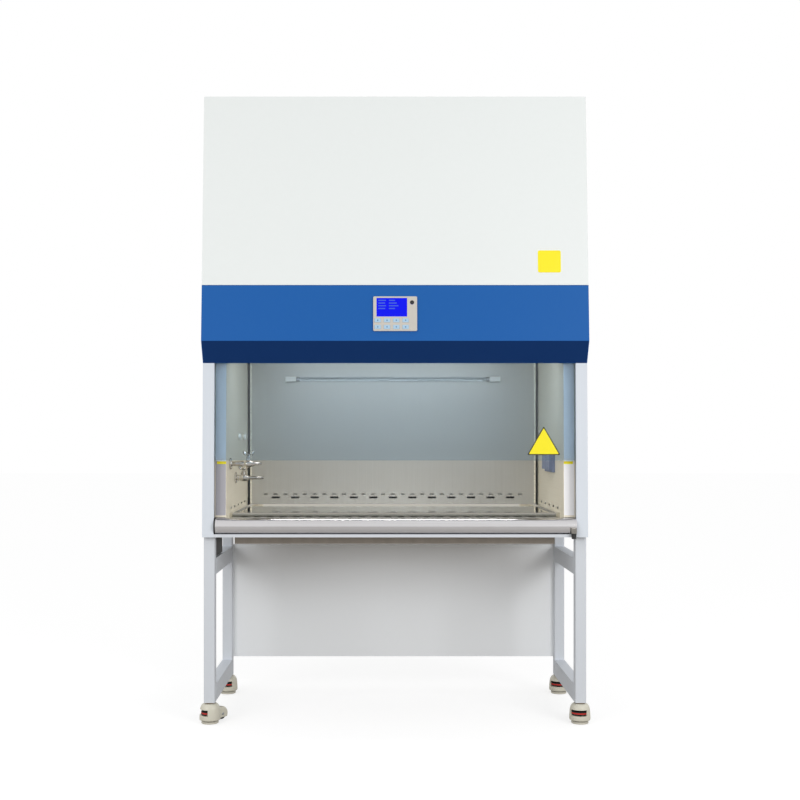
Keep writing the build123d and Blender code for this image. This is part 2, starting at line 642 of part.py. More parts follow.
def drain_valve_body():
    """Pipe from the cabinet's floor space, the valve's spindle and its outlet spout."""
    up = (0, 0, 1)
    spout = pin((VALVE_X, VALVE_Y, SPOUT_TOP - OUTLET_LENGTH), up, OUTLET_RADIUS, OUTLET_TIP)
    block_radius = OUTLET_RADIUS + OUTLET_SHOULDER
    spout += rod((VALVE_X, VALVE_Y, OUTLET_BLOCK_Z), up, block_radius, SPOUT_TOP - OUTLET_BLOCK_Z)
    spindle = rod((VALVE_X, VALVE_Y, SPOUT_TOP), up, SPINDLE_RADIUS, VALVE_KNOB_HEIGHT / 2)
    run = FRONT + ARMREST_DEPTH - VALVE_Y
    pipe = rod((VALVE_X, VALVE_Y, DRAIN_PIPE_Z), (0, 1, 0), DRAIN_PIPE_RADIUS, run)
    return spout + spindle + pipe


def drain_valve_knob():
    """Collar that turns on the spindle to open the drain."""
    low = SPOUT_TOP + RUN
    knob = rod((VALVE_X, VALVE_Y, low), (0, 0, 1), VALVE_RADIUS, VALVE_KNOB_HEIGHT)
    return knob - hole((VALVE_X, VALVE_Y, low), (0, 0, 1), SPINDLE_RADIUS + RUN / 3, VALVE_KNOB_HEIGHT / 2)


# ---------------------------------------------------------------- work area
def slot_row(count, pitch, length, width, z):
    """A row of slots across the rear wall, centred on the cabinet."""
    first = -pitch * (count - 1) / 2
    y = (REAR_WALL - STEEL, REAR_WALL + 2 * STEEL)
    slots = []
    for i in range(count):
        x = first + i * pitch
        slots.append(block((x - length / 2, x + length / 2), y, (z - width / 2, z + width / 2)))
    return slots


def inner_rear_wall():
    """Rear wall with its rows of return-air slots and its side edges folded back."""
    x = WALL_X - CORNER_GAP
    wall = block((-x, x), (REAR_WALL, REAR_WALL + STEEL), (BASE + SHEET, CEILING))
    for side in (-1, 1):
        edge = sorted((side * x, side * (x - STEEL)))
        wall += block(edge, (REAR_WALL, REAR_WALL + HEM), (TRAY, CEILING))
    big = slot_row(BIG_SLOT_COUNT, BIG_SLOT_PITCH, BIG_SLOT_LENGTH, BIG_SLOT_WIDTH, TRAY + BIG_SLOT_RISE)
    small = slot_row(2 * BIG_SLOT_COUNT + 1, BIG_SLOT_PITCH / 2, SMALL_SLOT_LENGTH, SMALL_SLOT_WIDTH,
                     TRAY + SMALL_SLOT_RISE)
    return wall - (big + small)


def inner_wall():
    """Right-hand wall of the work area: front and top flanges, tray ledge and air slots."""
    z = (BASE + SHEET, CEILING)
    setback = FLANGE_SETBACK
    outline = [
        (lower_y(z[0]) + setback, z[0]),
        (lower_y(z[1]) + setback, z[1]),
        (REAR_WALL + HEM, z[1]),
        (REAR_WALL + HEM, z[0]),
    ]
    wall = along_x(outline, (WALL_X, WALL_X + STEEL))
    low = FRONT + ARMREST_DEPTH + SHEET
    wall -= block((WALL_X - SHEET, WALL_X + 2 * SHEET), (FRONT, low), (BASE, ARMREST_TOP))
    flange = [(WALL_X, setback), (HALF - SHEET, setback)]
    wall += up_column(folded(flange, STEEL), (ARMREST_TOP + 2 * STEEL, CEILING))
    top = block((WALL_X, WALL_X + 2 * SUPPLY_FILTER_LAND),
                (lower_y(z[1]) + setback, REAR_WALL + HEM), (CEILING - STEEL, CEILING))
    shelf_z = (TRAY - TRAY_DEPTH - STEEL, TRAY - TRAY_DEPTH)
    shelf = block((WALL_X - LEDGE, WALL_X), (low, REAR_WALL), shelf_z)
    wall += top + shelf
    z_slot = TRAY + SIDE_SLOT_RISE
    for i in range(SIDE_SLOT_COUNT):
        y = FRONT + SIDE_SLOT_START + i * SIDE_SLOT_PITCH
        wall -= block((WALL_X - SHEET, WALL_X + 2 * SHEET),
                      (y - BIG_SLOT_LENGTH / 2, y + BIG_SLOT_LENGTH / 2),
                      (z_slot - BIG_SLOT_WIDTH / 2, z_slot + BIG_SLOT_WIDTH / 2))
    return wall


def inner_wall_left():
    """Left-hand wall, with plugged service ports."""
    wall = mirrored(inner_wall())
    for setback in PORT_SETBACKS:
        seat = (-WALL_X, FRONT + setback, TRAY + PORT_RISE)
        wall += rod(seat, (1, 0, 0), PORT_RADIUS, PORT_THICKNESS)
    return wall


def work_tray():
    """Dished work surface, its rim on the ledges of the walls and its skirt turned down."""
    x = WALL_X - RUN
    y = (GRILLE_REAR + RUN, REAR_WALL - RUN)
    low = TRAY - TRAY_DEPTH
    tray = block((-x, x), y, (low, TRAY + TRAY_RIM))
    rim = TRAY_RIM_WIDTH
    dish = block((-x + rim, x - rim), (y[0] + rim, y[1] - rim), (TRAY, TRAY + 2 * TRAY_RIM))
    under = block((-x + STEEL, x - STEEL), (y[0] + STEEL, y[1] - STEEL), (low - STEEL, TRAY - STEEL))
    return tray - dish - under


def intake_grille():
    """Slotted plate between the armrest and the tray that draws in the room's air."""
    x = WALL_X - RUN
    y = (FRONT + ARMREST_DEPTH + SHEET + RUN, GRILLE_REAR)
    low = TRAY - TRAY_DEPTH
    top = TRAY - GRILLE_STEP
    plate = block((-x, x), y, (low, top))
    under = block((-x + STEEL, x - STEEL), (y[0] + STEEL, y[1] - STEEL), (low - STEEL, top - STEEL))
    plate -= under
    pitch = 2 * x / (GRILLE_SLOT_COUNT + 1)
    margin = (y[1] - y[0]) / 5
    slots = []
    for i in range(GRILLE_SLOT_COUNT):
        middle = -x + (i + 1) * pitch
        slot_x = (middle - pitch / 4, middle + pitch / 4)
        slots.append(block(slot_x, (y[0] + margin, y[1] - margin), (low, top + 1)))
    return plate - slots


# ---------------------------------------------------------------- sash
def sash_glass():
    """Toughened glass with the metal edge along its foot."""
    outline = rectangle((-GLASS_X, GLASS_X), (GLASS_SETBACK, GLASS_SETBACK + GLASS_THICKNESS))
    return up_column(outline, (GLASS_LOW, GLASS_LOW + GLASS_HEIGHT))


def sash_guides():
    """Channels that the glass runs in, one behind each column."""
    front = GLASS_SETBACK - GUIDE_RUN
    rear = GLASS_SETBACK + GLASS_THICKNESS + GUIDE_RUN
    outer = rectangle((OPENING_X + GUIDE_RUN, GUIDE_X + GUIDE_WALL), (COLUMN_HEM, rear + GUIDE_WALL))
    slot = rectangle((OPENING_X, GUIDE_X), (front, rear))
    rise = (ARMREST_TOP, SHAFT_Z - 2 * PULLEY_RADIUS)
    guide = up_column(outer, rise) - up_column(slot, (rise[0] - 1, rise[1] + 1))
    return [guide, mirrored(guide)]


def sash_drive_shaft():
    """Cross shaft with a belt pulley near each end."""
    length = SHAFT_HALF - RUN
    shaft = rod((-length, SHAFT_Y, SHAFT_Z), (1, 0, 0), SHAFT_RADIUS, 2 * length)
    for side in (-1, 1):
        middle = side * (SHAFT_HALF - BEARING_GRIP - PULLEY_INSET)
        start = (middle - PULLEY_WIDTH / 2, SHAFT_Y, SHAFT_Z)
        shaft += rod(start, (1, 0, 0), PULLEY_RADIUS, PULLEY_WIDTH)
    return shaft


# ---------------------------------------------------------------- air system
def supply_filter():
    """Boxed high-efficiency filter over the whole work area."""
    x = WALL_X + SUPPLY_FILTER_LAND
    y = (FRONT + SHELF_START, REAR_WALL + HEM)
    z = (CEILING, CEILING + SUPPLY_FILTER_THICKNESS)
    frame = block((-x, x), y, z)
    land = SUPPLY_FILTER_LAND + FILTER_RECESS
    for low, high in ((z[0], z[0] + FILTER_RECESS), (z[1] - FILTER_RECESS, z[1])):
        frame -= block((-x + land, x - land), (y[0] + land, y[1] - land), (low, high))
    return frame


def exhaust_filter():
    """Boxed filter under the outlet in the roof."""
    x = EXHAUST_WIDTH / 2
    y = (EXHAUST_Y - EXHAUST_DEPTH / 2, EXHAUST_Y + EXHAUST_DEPTH / 2)
    z = (TOP - SHEET - EXHAUST_THICKNESS, TOP - SHEET)
    frame = block((-x, x), y, z)
    land = EXHAUST_LAND
    for low, high in ((z[0], z[0] + FILTER_RECESS), (z[1] - FILTER_RECESS, z[1])):
        frame -= block((-x + land, x - land), (y[0] + land, y[1] - land), (low, high))
    return frame


def exhaust_guard():
    """Slotted cover over the outlet in the roof."""
    x = EXHAUST_WIDTH / 2
    y = (EXHAUST_Y - EXHAUST_DEPTH / 2, EXHAUST_Y + EXHAUST_DEPTH / 2)
    z = (TOP, TOP + GUARD_HEIGHT)
    cover = block((-x, x), y, z)
    cover -= block((-x + SHEET, x - SHEET), (y[0] + SHEET, y[1] - SHEET), (z[0], z[1] - SHEET))
    pitch = EXHAUST_DEPTH / (GUARD_SLOT_COUNT + 1)
    slots = []
    for i in range(GUARD_SLOT_COUNT):
        middle = y[0] + (i + 1) * pitch
        for side in (-1, 1):
            ends = sorted((side * EXHAUST_LAND, side * (x - 2 * EXHAUST_LAND)))
            slots.append(block(ends, (middle - pitch / 4, middle + pitch / 4), (z[1] - HEM, z[1] + 1)))
    return cover - slots


def blower_shelf():
    """Plate over the supply filter that carries the blower, its lips closing the plenum."""
    x = HALF - SHEET
    y = (FRONT + SHELF_START, REAR_WALL + HEM)
    low = CEILING + SUPPLY_FILTER_THICKNESS
    shelf = block((-x, x), y, (low, SHELF + SHEET))
    shelf -= block((-x, x), (y[0] + SHEET, y[1] - SHEET), (low, SHELF))
    outlet_x = BLOWER_WIDTH / 2 - SHEET
    outlet_y = (BLOWER_Y - BLOWER_RADIUS + SHEET, BLOWER_Y - BLOWER_RADIUS + BLOWER_OUTLET - SHEET)
    return shelf - block((-outlet_x, outlet_x), outlet_y, (SHELF - HEM, SHELF + HEM))


def scroll(inset):
    """Closed (y, z) outline of the blower's volute: a growing spiral that ends in the outlet."""
    start = IMPELLER_RADIUS + BLOWER_CUTOFF
    spiral = []
    for i in range(SCROLL_STEPS + 1):
        share = i / SCROLL_STEPS
        angle = radians(SCROLL_START + SCROLL_SWEEP * share)
        radius = start + (BLOWER_RADIUS - start) * share - inset
        spiral.append((BLOWER_Y + radius * cos(angle), BLOWER_Z + radius * sin(angle)))
    low = SHELF + SHEET
    left = BLOWER_Y - BLOWER_RADIUS + inset
    right = BLOWER_Y - BLOWER_RADIUS + BLOWER_OUTLET - inset
    return spiral + [(left, low), (right, low), (right, BLOWER_Z - start)]


def blower_housing():
    """Volute with an inlet on the left and the motor on the right."""
    half = BLOWER_WIDTH / 2
    shell = along_x(scroll(0), (-half, half)) - along_x(scroll(SHEET), (-half + SHEET, half - SHEET))
    low = SHELF + SHEET
    outlet_y = (BLOWER_Y - BLOWER_RADIUS + SHEET, BLOWER_Y - BLOWER_RADIUS + BLOWER_OUTLET - SHEET)
    shell -= block((-half + SHEET, half - SHEET), outlet_y, (low - 1, low + HEM))
    shell -= hole((-half - 1, BLOWER_Y, BLOWER_Z), (1, 0, 0), IMPELLER_EYE, 2 * SHEET + 1)
    motor = rod((half, BLOWER_Y, BLOWER_Z), (1, 0, 0), MOTOR_RADIUS, MOTOR_LENGTH)
    shaft_end = (half - MOTOR_SHAFT_LENGTH, BLOWER_Y, BLOWER_Z)
    shaft = rod(shaft_end, (1, 0, 0), MOTOR_SHAFT_RADIUS, MOTOR_SHAFT_LENGTH)
    return shell + motor + shaft


def blower_impeller():
    """Forward-curved wheel: a hub and back plate, a ring of blades and the rim at the eye."""
    half = IMPELLER_WIDTH / 2
    eye_plane = Plane(origin=(-half, BLOWER_Y, BLOWER_Z), z_dir=(1, 0, 0))
    disc = RegularPolygon(IMPELLER_RADIUS, BLADE_COUNT)
    rim = extrude(disc - RegularPolygon(IMPELLER_EYE, BLADE_COUNT), 2 * BLADE_THICKNESS)
    back = Pos(0, 0, IMPELLER_WIDTH - 2 * BLADE_THICKNESS) * extrude(disc, 2 * BLADE_THICKNESS)
    middle = IMPELLER_RADIUS - BLADE_DEPTH
    blade = Box(BLADE_DEPTH, BLADE_THICKNESS, IMPELLER_WIDTH - BLADE_THICKNESS)
    blade = Pos(middle, 0, half) * Rot(0, 0, BLADE_LEAN) * blade
    hub = extrude(RegularPolygon(3 * MOTOR_SHAFT_RADIUS, BLADE_COUNT // 2), HUB_LENGTH)
    hub = Pos(0, 0, IMPELLER_WIDTH - HUB_LENGTH) * hub
    wheel = rim + back + hub
    wheel += [Rot(0, 0, 360 * i / BLADE_COUNT) * blade for i in range(BLADE_COUNT)]
    bore = RegularPolygon(MOTOR_SHAFT_RADIUS + RUN / 3, flats(MOTOR_SHAFT_RADIUS), major_radius=False)
    bore = Pos(0, 0, IMPELLER_WIDTH - HUB_LENGTH) * extrude(bore, HUB_LENGTH)
    return eye_plane * (wheel - bore)


# ---------------------------------------------------------------- lamps
def led_lamp():
    """White light behind the fascia: a channel with a rounded diffuser."""
    y = (FRONT + LAMP_SETBACK, FRONT + LAMP_SETBACK + LAMP_DEPTH)
    body = block((-LAMP_WIDTH / 2, LAMP_WIDTH / 2), y, (CEILING - LAMP_HEIGHT, CEILING))
    edges = body.edges().filter_by(Axis.X).group_by(Axis.Z)[0]
    return fillet(edges, LAMP_HEIGHT / 3)


def uv_lamp_tube():
    """Germicidal tube along the rear wall."""
    start = (-UV_TUBE_LENGTH / 2, REAR_WALL - UV_STAND_OFF, TRAY + UV_TUBE_HEIGHT)
    return rod(start, (1, 0, 0), UV_TUBE_RADIUS, UV_TUBE_LENGTH)


def uv_lamp_holders():
    """Two sockets that grip the ends of the tube."""
    holders = []
    for side in (-1, 1):
        inner = UV_TUBE_LENGTH / 2
        x = sorted((side * inner, side * (inner + UV_HOLDER_WIDTH)))
        y = (REAR_WALL - UV_HOLDER_DEPTH, REAR_WALL)
        middle = TRAY + UV_TUBE_HEIGHT
        holders.append(block(x, y, (middle - UV_HOLDER_HEIGHT / 2, middle + UV_HOLDER_HEIGHT / 2)))
    return holders


# ---------------------------------------------------------------- sockets on the right wall
def socket_box():
    """Plate with two round outlets and the pin that the covers hang on."""
    x = (WALL_X - SOCKET_THICKNESS, WALL_X)
    z = (TRAY + SOCKET_RISE, TRAY + SOCKET_RISE + SOCKET_HEIGHT)
    plate = block(x, (SOCKET_Y[0], SOCKET_Y[1]), z)
    for low, high in COVER_Y:
        bore = (x[0], (low + high) / 2, COVER_MIDDLE_Z)
        plate -= hole(bore, (1, 0, 0), SOCKET_BORE_RADIUS, SOCKET_BORE_DEPTH)
    ears = (SOCKET_Y[0], (SOCKET_Y[0] + SOCKET_Y[1] - SOCKET_EAR) / 2, SOCKET_Y[1] - SOCKET_EAR)
    for low in ears:
        plate += block((PIVOT_X - COVER_HALF, x[0]), (low, low + SOCKET_EAR),
                       (PIVOT_Z - COVER_HALF, PIVOT_Z + COVER_HALF))
    hinge_pin = rod((PIVOT_X, SOCKET_Y[0], PIVOT_Z), (0, 1, 0), SOCKET_PIN_RADIUS, SOCKET_LENGTH)
    return plate + hinge_pin


def socket_cover(span):
    """Splash cover that hangs on the pin over one outlet."""
    y = (span[0] + RUN, span[1] - RUN)
    flap = block((PIVOT_X - COVER_HALF, PIVOT_X + COVER_HALF), y, (PIVOT_Z - SOCKET_COVER, PIVOT_Z))
    knuckle = rod((PIVOT_X, y[0], PIVOT_Z), (0, 1, 0), COVER_HALF, y[1] - y[0])
    bore = hole((PIVOT_X, y[0], PIVOT_Z), (0, 1, 0), SOCKET_PIN_RADIUS + RUN / 3, y[1] - y[0])
    return flap + knuckle - bore


# ---------------------------------------------------------------- taps on the left wall
def tap_body(setback, rise, handle_x, end_x):
    """Rose, stem, turned body, barbed nozzle and bonnet, standing out from the wall."""
    y = FRONT + setback
    z = TRAY + rise
    wall = -WALL_X
    barbs = TAP_BARB_COUNT * TAP_BARB_LENGTH + TAP_TIP_LENGTH
    tap = rod((wall, y, z), (1, 0, 0), TAP_ROSE_RADIUS, TAP_ROSE_THICKNESS)
    tap += rod((wall, y, z), (1, 0, 0), TAP_STEM_RADIUS, end_x - barbs)
    tap += rod((wall + handle_x - TAP_BODY_LENGTH / 2, y, z), (1, 0, 0), TAP_BODY_RADIUS, TAP_BODY_LENGTH)
    for i in range(TAP_BARB_COUNT):
        start = (wall + end_x - TAP_TIP_LENGTH - (i + 1) * TAP_BARB_LENGTH, y, z)
        tap += tapered(start, (1, 0, 0), TAP_BARB_RADIUS, TAP_NOZZLE_RADIUS, TAP_BARB_LENGTH)
    tap += pin((wall + end_x - TAP_TIP_LENGTH, y, z), (1, 0, 0), TAP_NOZZLE_RADIUS, TAP_TIP_LENGTH)
    bonnet = (wall + handle_x, y, z)
    tap += rod(bonnet, (0, 0, 1), TAP_BONNET_RADIUS, TAP_BODY_RADIUS + TAP_BONNET_HEIGHT)
    spindle = TAP_BODY_RADIUS + TAP_BONNET_HEIGHT + TAP_BAR_RADIUS
    return tap + rod(bonnet, (0, 0, 1), TAP_SPINDLE_RADIUS, spindle)


def tap_handle(setback, rise, handle_x):
    """Cross bar on its hub, which turns on the spindle."""
    x = -WALL_X + handle_x
    y = FRONT + setback
    low = TRAY + rise + TAP_BODY_RADIUS + TAP_BONNET_HEIGHT + RUN
    hub = rod((x, y, low), (0, 0, 1), TAP_BONNET_RADIUS - 2, 2 * TAP_BAR_RADIUS + RUN)
    bar_start = (x - TAP_BAR_LENGTH / 2, y, low + TAP_BAR_RADIUS + RUN)
    bar = rod(bar_start, (1, 0, 0), TAP_BAR_RADIUS, TAP_BAR_LENGTH)
    bore = hole((x, y, low), (0, 0, 1), TAP_SPINDLE_RADIUS + RUN / 3, TAP_BAR_RADIUS + RUN)
    return hub + bar - bore


# ---------------------------------------------------------------- controls on the fascia
def key_places():
    """Middles of the keys on the fascia, left to right, upper row first."""
    places = []
    for row in range(2):
        for column in range(4):
            u = KEY_FIRST_X + column * KEY_PITCH_X
            places.append((u, BEZEL_RISE - KEY_FIRST_DROP - row * KEY_PITCH_Z))
    return places


def on_fascia(u, v, w, size):
    """Rectangular solid on the fascia, standing out from w[0] to w[1]."""
    body = extrude(Rectangle(*size), w[1] - w[0])
    return FASCIA_FACE * (Pos(u, v, w[0]) * body)


def control_bezel():
    """Raised frame with openings for the display, the infrared window and the keys."""
    plate = extrude(softened(BEZEL_WIDTH, BEZEL_HEIGHT, BEZEL_CORNER), BEZEL_THICKNESS)
    bezel = FASCIA_FACE * (Pos(0, BEZEL_RISE, 0) * plate)
    through = (0, BEZEL_THICKNESS + 1)
    bezel -= on_fascia(DISPLAY_X, BEZEL_RISE + DISPLAY_RISE, through, (DISPLAY_WIDTH, DISPLAY_HEIGHT))
    eye = extrude(RegularPolygon(EYE_RADIUS, flats(EYE_RADIUS)), through[1])
    eye = Pos(EYE_X, BEZEL_RISE + EYE_RISE, 0) * eye
    bezel -= FASCIA_FACE * eye
    pocket = (KEY_WIDTH + 2 * RUN, KEY_HEIGHT + 2 * RUN)
    for u, v in key_places():
        bezel -= on_fascia(u, v, through, pocket)
    return bezel


def display_window():
    """Display glass and the round infrared window, set in the bezel."""
    depth = BEZEL_THICKNESS - 2 * RUN
    glass = on_fascia(DISPLAY_X, BEZEL_RISE + DISPLAY_RISE, (0, depth), (DISPLAY_WIDTH, DISPLAY_HEIGHT))
    eye = extrude(RegularPolygon(EYE_RADIUS, flats(EYE_RADIUS)), BEZEL_THICKNESS)
    eye = Pos(EYE_X, BEZEL_RISE + EYE_RISE, 0) * eye
    return [glass, FASCIA_FACE * eye]


def key(place):
    """One push key, proud of the bezel by its stand-out."""
    depth = (KEY_TRAVEL + RUN, BEZEL_THICKNESS + KEY_STAND_OUT)
    return on_fascia(place[0], place[1], depth, (KEY_WIDTH, KEY_HEIGHT))


def service_box():
    """Junction box hung under the left end of the cabinet floor, clear of the stand's rail."""
    x = (-HALF + SERVICE_BOX_INSET, -HALF + SERVICE_BOX_INSET + SERVICE_BOX_WIDTH)
    y = (FRONT + SERVICE_BOX_START, FRONT + SERVICE_BOX_START + SERVICE_BOX_LENGTH)
    section = softened(SERVICE_BOX_WIDTH, SERVICE_BOX_LENGTH, 2 * SHEET)
    middle = Pos((x[0] + x[1]) / 2, (y[0] + y[1]) / 2, BASE - SERVICE_BOX_HEIGHT)
    return middle * extrude(section, SERVICE_BOX_HEIGHT)


# ---------------------------------------------------------------- all nodes
def group(solids):
    """Several separate solids kept together in one node."""
    return Compound(children=list(solids))


def stand_nodes():
    right = side_frame()
    yield "stand_side_frame_right", right
    yield "stand_side_frame_left", mirrored(right)
    yield "stand_rear_panel", stand_rear_panel()
    makers = (
        ("caster_body", caster_body()),
        ("caster_wheel", caster_wheel()),
        ("leveling_foot", leveling_foot()),
    )
    for name, shape in makers:
        for corner, (x, y, turn) in CASTERS.items():
            yield name + "_" + corner, Pos(x, y, 0) * Rot(0, 0, turn) * shape


def cabinet_nodes():
    right = side_panel()
    yield "side_panel_right", right
    yield "side_panel_left", mirrored(right)
    yield "top_panel", top_panel()
    yield "back_panel", back_panel()
    yield "hood_front_panel", hood_front_panel()
    yield "control_fascia", control_fascia()
    yield "base_pan", base_pan()
    yield "service_box", service_box()
    yield "armrest", armrest()
    yield "drain_valve_body", drain_valve_body()
    yield "drain_valve_knob", drain_valve_knob()
    yield "inner_rear_wall", inner_rear_wall()
    yield "inner_wall_right", inner_wall()
    yield "inner_wall_left", inner_wall_left()
    yield "work_tray", work_tray()
    yield "intake_grille", intake_grille()
    yield "sash_glass", sash_glass()
    yield "sash_guides", group(sash_guides())
    yield "sash_drive_shaft", sash_drive_shaft()


def inner_nodes():
    yield "supply_filter", supply_filter()
    yield "exhaust_filter", exhaust_filter()
    yield "exhaust_guard", exhaust_guard()
    yield "blower_shelf", blower_shelf()
    yield "blower_housing", blower_housing()
    yield "blower_impeller", blower_impeller()
    yield "led_lamp", led_lamp()
    yield "uv_lamp_tube", uv_lamp_tube()
    yield "uv_lamp_holders", group(uv_lamp_holders())
    yield "socket_box", socket_box()
    yield "socket_cover_front", socket_cover(COVER_Y[0])
    yield "socket_cover_rear", socket_cover(COVER_Y[1])
    yield "gas_tap_body", tap_body(GAS_TAP_SETBACK, GAS_TAP_RISE, GAS_TAP_HANDLE_X, GAS_TAP_REACH)
    yield "gas_tap_handle", tap_handle(GAS_TAP_SETBACK, GAS_TAP_RISE, GAS_TAP_HANDLE_X)
    yield "water_tap_body", tap_body(WATER_TAP_SETBACK, WATER_TAP_RISE, WATER_TAP_HANDLE_X, WATER_TAP_REACH)
    yield "water_tap_handle", tap_handle(WATER_TAP_SETBACK, WATER_TAP_RISE, WATER_TAP_HANDLE_X)


def control_nodes():
    yield "control_bezel", control_bezel()
    yield "display_window", group(display_window())
    for number, place in enumerate(key_places(), 1):
        yield "key_" + str(number), key(place)


os.makedirs("parts", exist_ok=True)
for nodes in (stand_nodes(), cabinet_nodes(), inner_nodes(), control_nodes()):
    for name, shape in nodes:
        save(name, shape)
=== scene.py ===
import json
import math

import bpy
import numpy as np
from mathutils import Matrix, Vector


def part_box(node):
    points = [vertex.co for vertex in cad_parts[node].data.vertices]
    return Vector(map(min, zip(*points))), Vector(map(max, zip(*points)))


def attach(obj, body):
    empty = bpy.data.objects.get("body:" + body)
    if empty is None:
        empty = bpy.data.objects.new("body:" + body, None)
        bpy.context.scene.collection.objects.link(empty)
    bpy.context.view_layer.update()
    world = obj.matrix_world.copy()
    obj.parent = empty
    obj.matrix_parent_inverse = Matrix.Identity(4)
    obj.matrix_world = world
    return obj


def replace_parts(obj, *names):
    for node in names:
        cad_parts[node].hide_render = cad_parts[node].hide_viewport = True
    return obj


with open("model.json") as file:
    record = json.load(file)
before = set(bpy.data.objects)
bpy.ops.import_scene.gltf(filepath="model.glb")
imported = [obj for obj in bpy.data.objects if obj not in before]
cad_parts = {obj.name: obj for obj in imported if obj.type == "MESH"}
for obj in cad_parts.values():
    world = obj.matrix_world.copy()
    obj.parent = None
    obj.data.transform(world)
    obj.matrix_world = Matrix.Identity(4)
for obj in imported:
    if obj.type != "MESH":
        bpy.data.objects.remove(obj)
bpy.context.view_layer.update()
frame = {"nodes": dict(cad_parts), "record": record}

# Biosafety cabinet on its stand, metres.  +Z is up and +Y runs from the user to the back.

NOSE_Y, NOSE_Z = -0.39807, 1.374          # foremost edge of the fascia
FRONT_Y, BASE_Z = -0.37507, 0.673         # foot of the columns
WALL_X, TRAY_Z = 0.610, 0.748             # inner faces of the side walls, top of the work tray
HOOD_TILT = math.radians(4.63)            # hood and fascia, back from upright
SASH_TILT = math.radians(1.8)             # sash and columns, back from upright
RIGHT = np.array([1.0, 0.0, 0.0])
UP = (0.0, 0.0, 1.0)
CASTERS = ("front_left", "front_right", "rear_left", "rear_right")


# ---------------------------------------------------------------- shader node groups
def new_group(name, inputs, outputs):
    """An empty shader group with the given (kind, name, default) inputs and (kind, name) outputs."""
    group = bpy.data.node_groups.new(name, "ShaderNodeTree")
    for kind, label, default in inputs:
        socket = group.interface.new_socket(name=label, in_out="INPUT", socket_type="NodeSocket" + kind)
        socket.default_value = default
    for kind, label in outputs:
        group.interface.new_socket(name=label, in_out="OUTPUT", socket_type="NodeSocket" + kind)
    return group, group.nodes.new("NodeGroupInput"), group.nodes.new("NodeGroupOutput")


def math_node(tree, operation, a, b=None, clamp=False):
    """A math node; a and b are sockets or numbers."""
    node = tree.nodes.new("ShaderNodeMath")
    node.operation = operation
    node.use_clamp = clamp
    for i, value in enumerate((a, b)):
        if isinstance(value, (int, float)):
            node.inputs[i].default_value = value
        elif value is not None:
            tree.links.new(value, node.inputs[i])
    return node.outputs[0]


def mix_colour(tree, amount, a, b):
    """Colour a to colour b by amount, which is a socket or a number."""
    node = tree.nodes.new("ShaderNodeMix")
    node.data_type = "RGBA"
    for socket, value in ((node.inputs[0], amount), (node.inputs[6], a), (node.inputs[7], b)):
        if isinstance(value, bpy.types.NodeSocket):
            tree.links.new(value, socket)
        else:
            socket.default_value = value
    return node.outputs[2]


def noise(tree, scale, detail=3.0, stretch=(1.0, 1.0, 1.0)):
    """Noise on object coordinates, stretched before it is read."""
    place = tree.nodes.new("ShaderNodeTexCoord")
    mapping = tree.nodes.new("ShaderNodeMapping")
    mapping.inputs["Scale"].default_value = stretch
    tree.links.new(place.outputs["Object"], mapping.inputs["Vector"])
    node = tree.nodes.new("ShaderNodeTexNoise")
    node.inputs["Detail"].default_value = detail
    if isinstance(scale, bpy.types.NodeSocket):
        tree.links.new(scale, node.inputs["Scale"])
    else:
        node.inputs["Scale"].default_value = scale
    tree.links.new(mapping.outputs["Vector"], node.inputs["Vector"])
    return node.outputs["Fac"]


def powder_coat_group():
    """Powder coat: fine orange-peel height, and cloudy handling marks in colour and roughness."""
    group, given, out = new_group(
        "powder_coat",
        [("Color", "Paint", (0.8, 0.8, 0.8, 1)), ("Color", "Marks", (0.6, 0.6, 0.58, 1)),
         ("Float", "Marking", 0.1), ("Float", "Peel", 900.0), ("Float", "Sheen", 0.4)],
        [("Color", "Colour"), ("Float", "Roughness"), ("Float", "Height")])
    cloud = noise(group, 3.2, 5.0)
    speck = noise(group, 60.0, 2.0)
    marks = math_node(group, "MULTIPLY", math_node(group, "MULTIPLY", cloud, speck), 2.2, True)
    amount = math_node(group, "MULTIPLY", marks, given.outputs["Marking"], True)
    colour = mix_colour(group, amount, given.outputs["Paint"], given.outputs["Marks"])
    group.links.new(colour, out.inputs["Colour"])
    rough = math_node(group, "ADD", given.outputs["Sheen"], math_node(group, "MULTIPLY", cloud, 0.12))
    group.links.new(rough, out.inputs["Roughness"])
    group.links.new(noise(group, given.outputs["Peel"], 2.0), out.inputs["Height"])
    return group


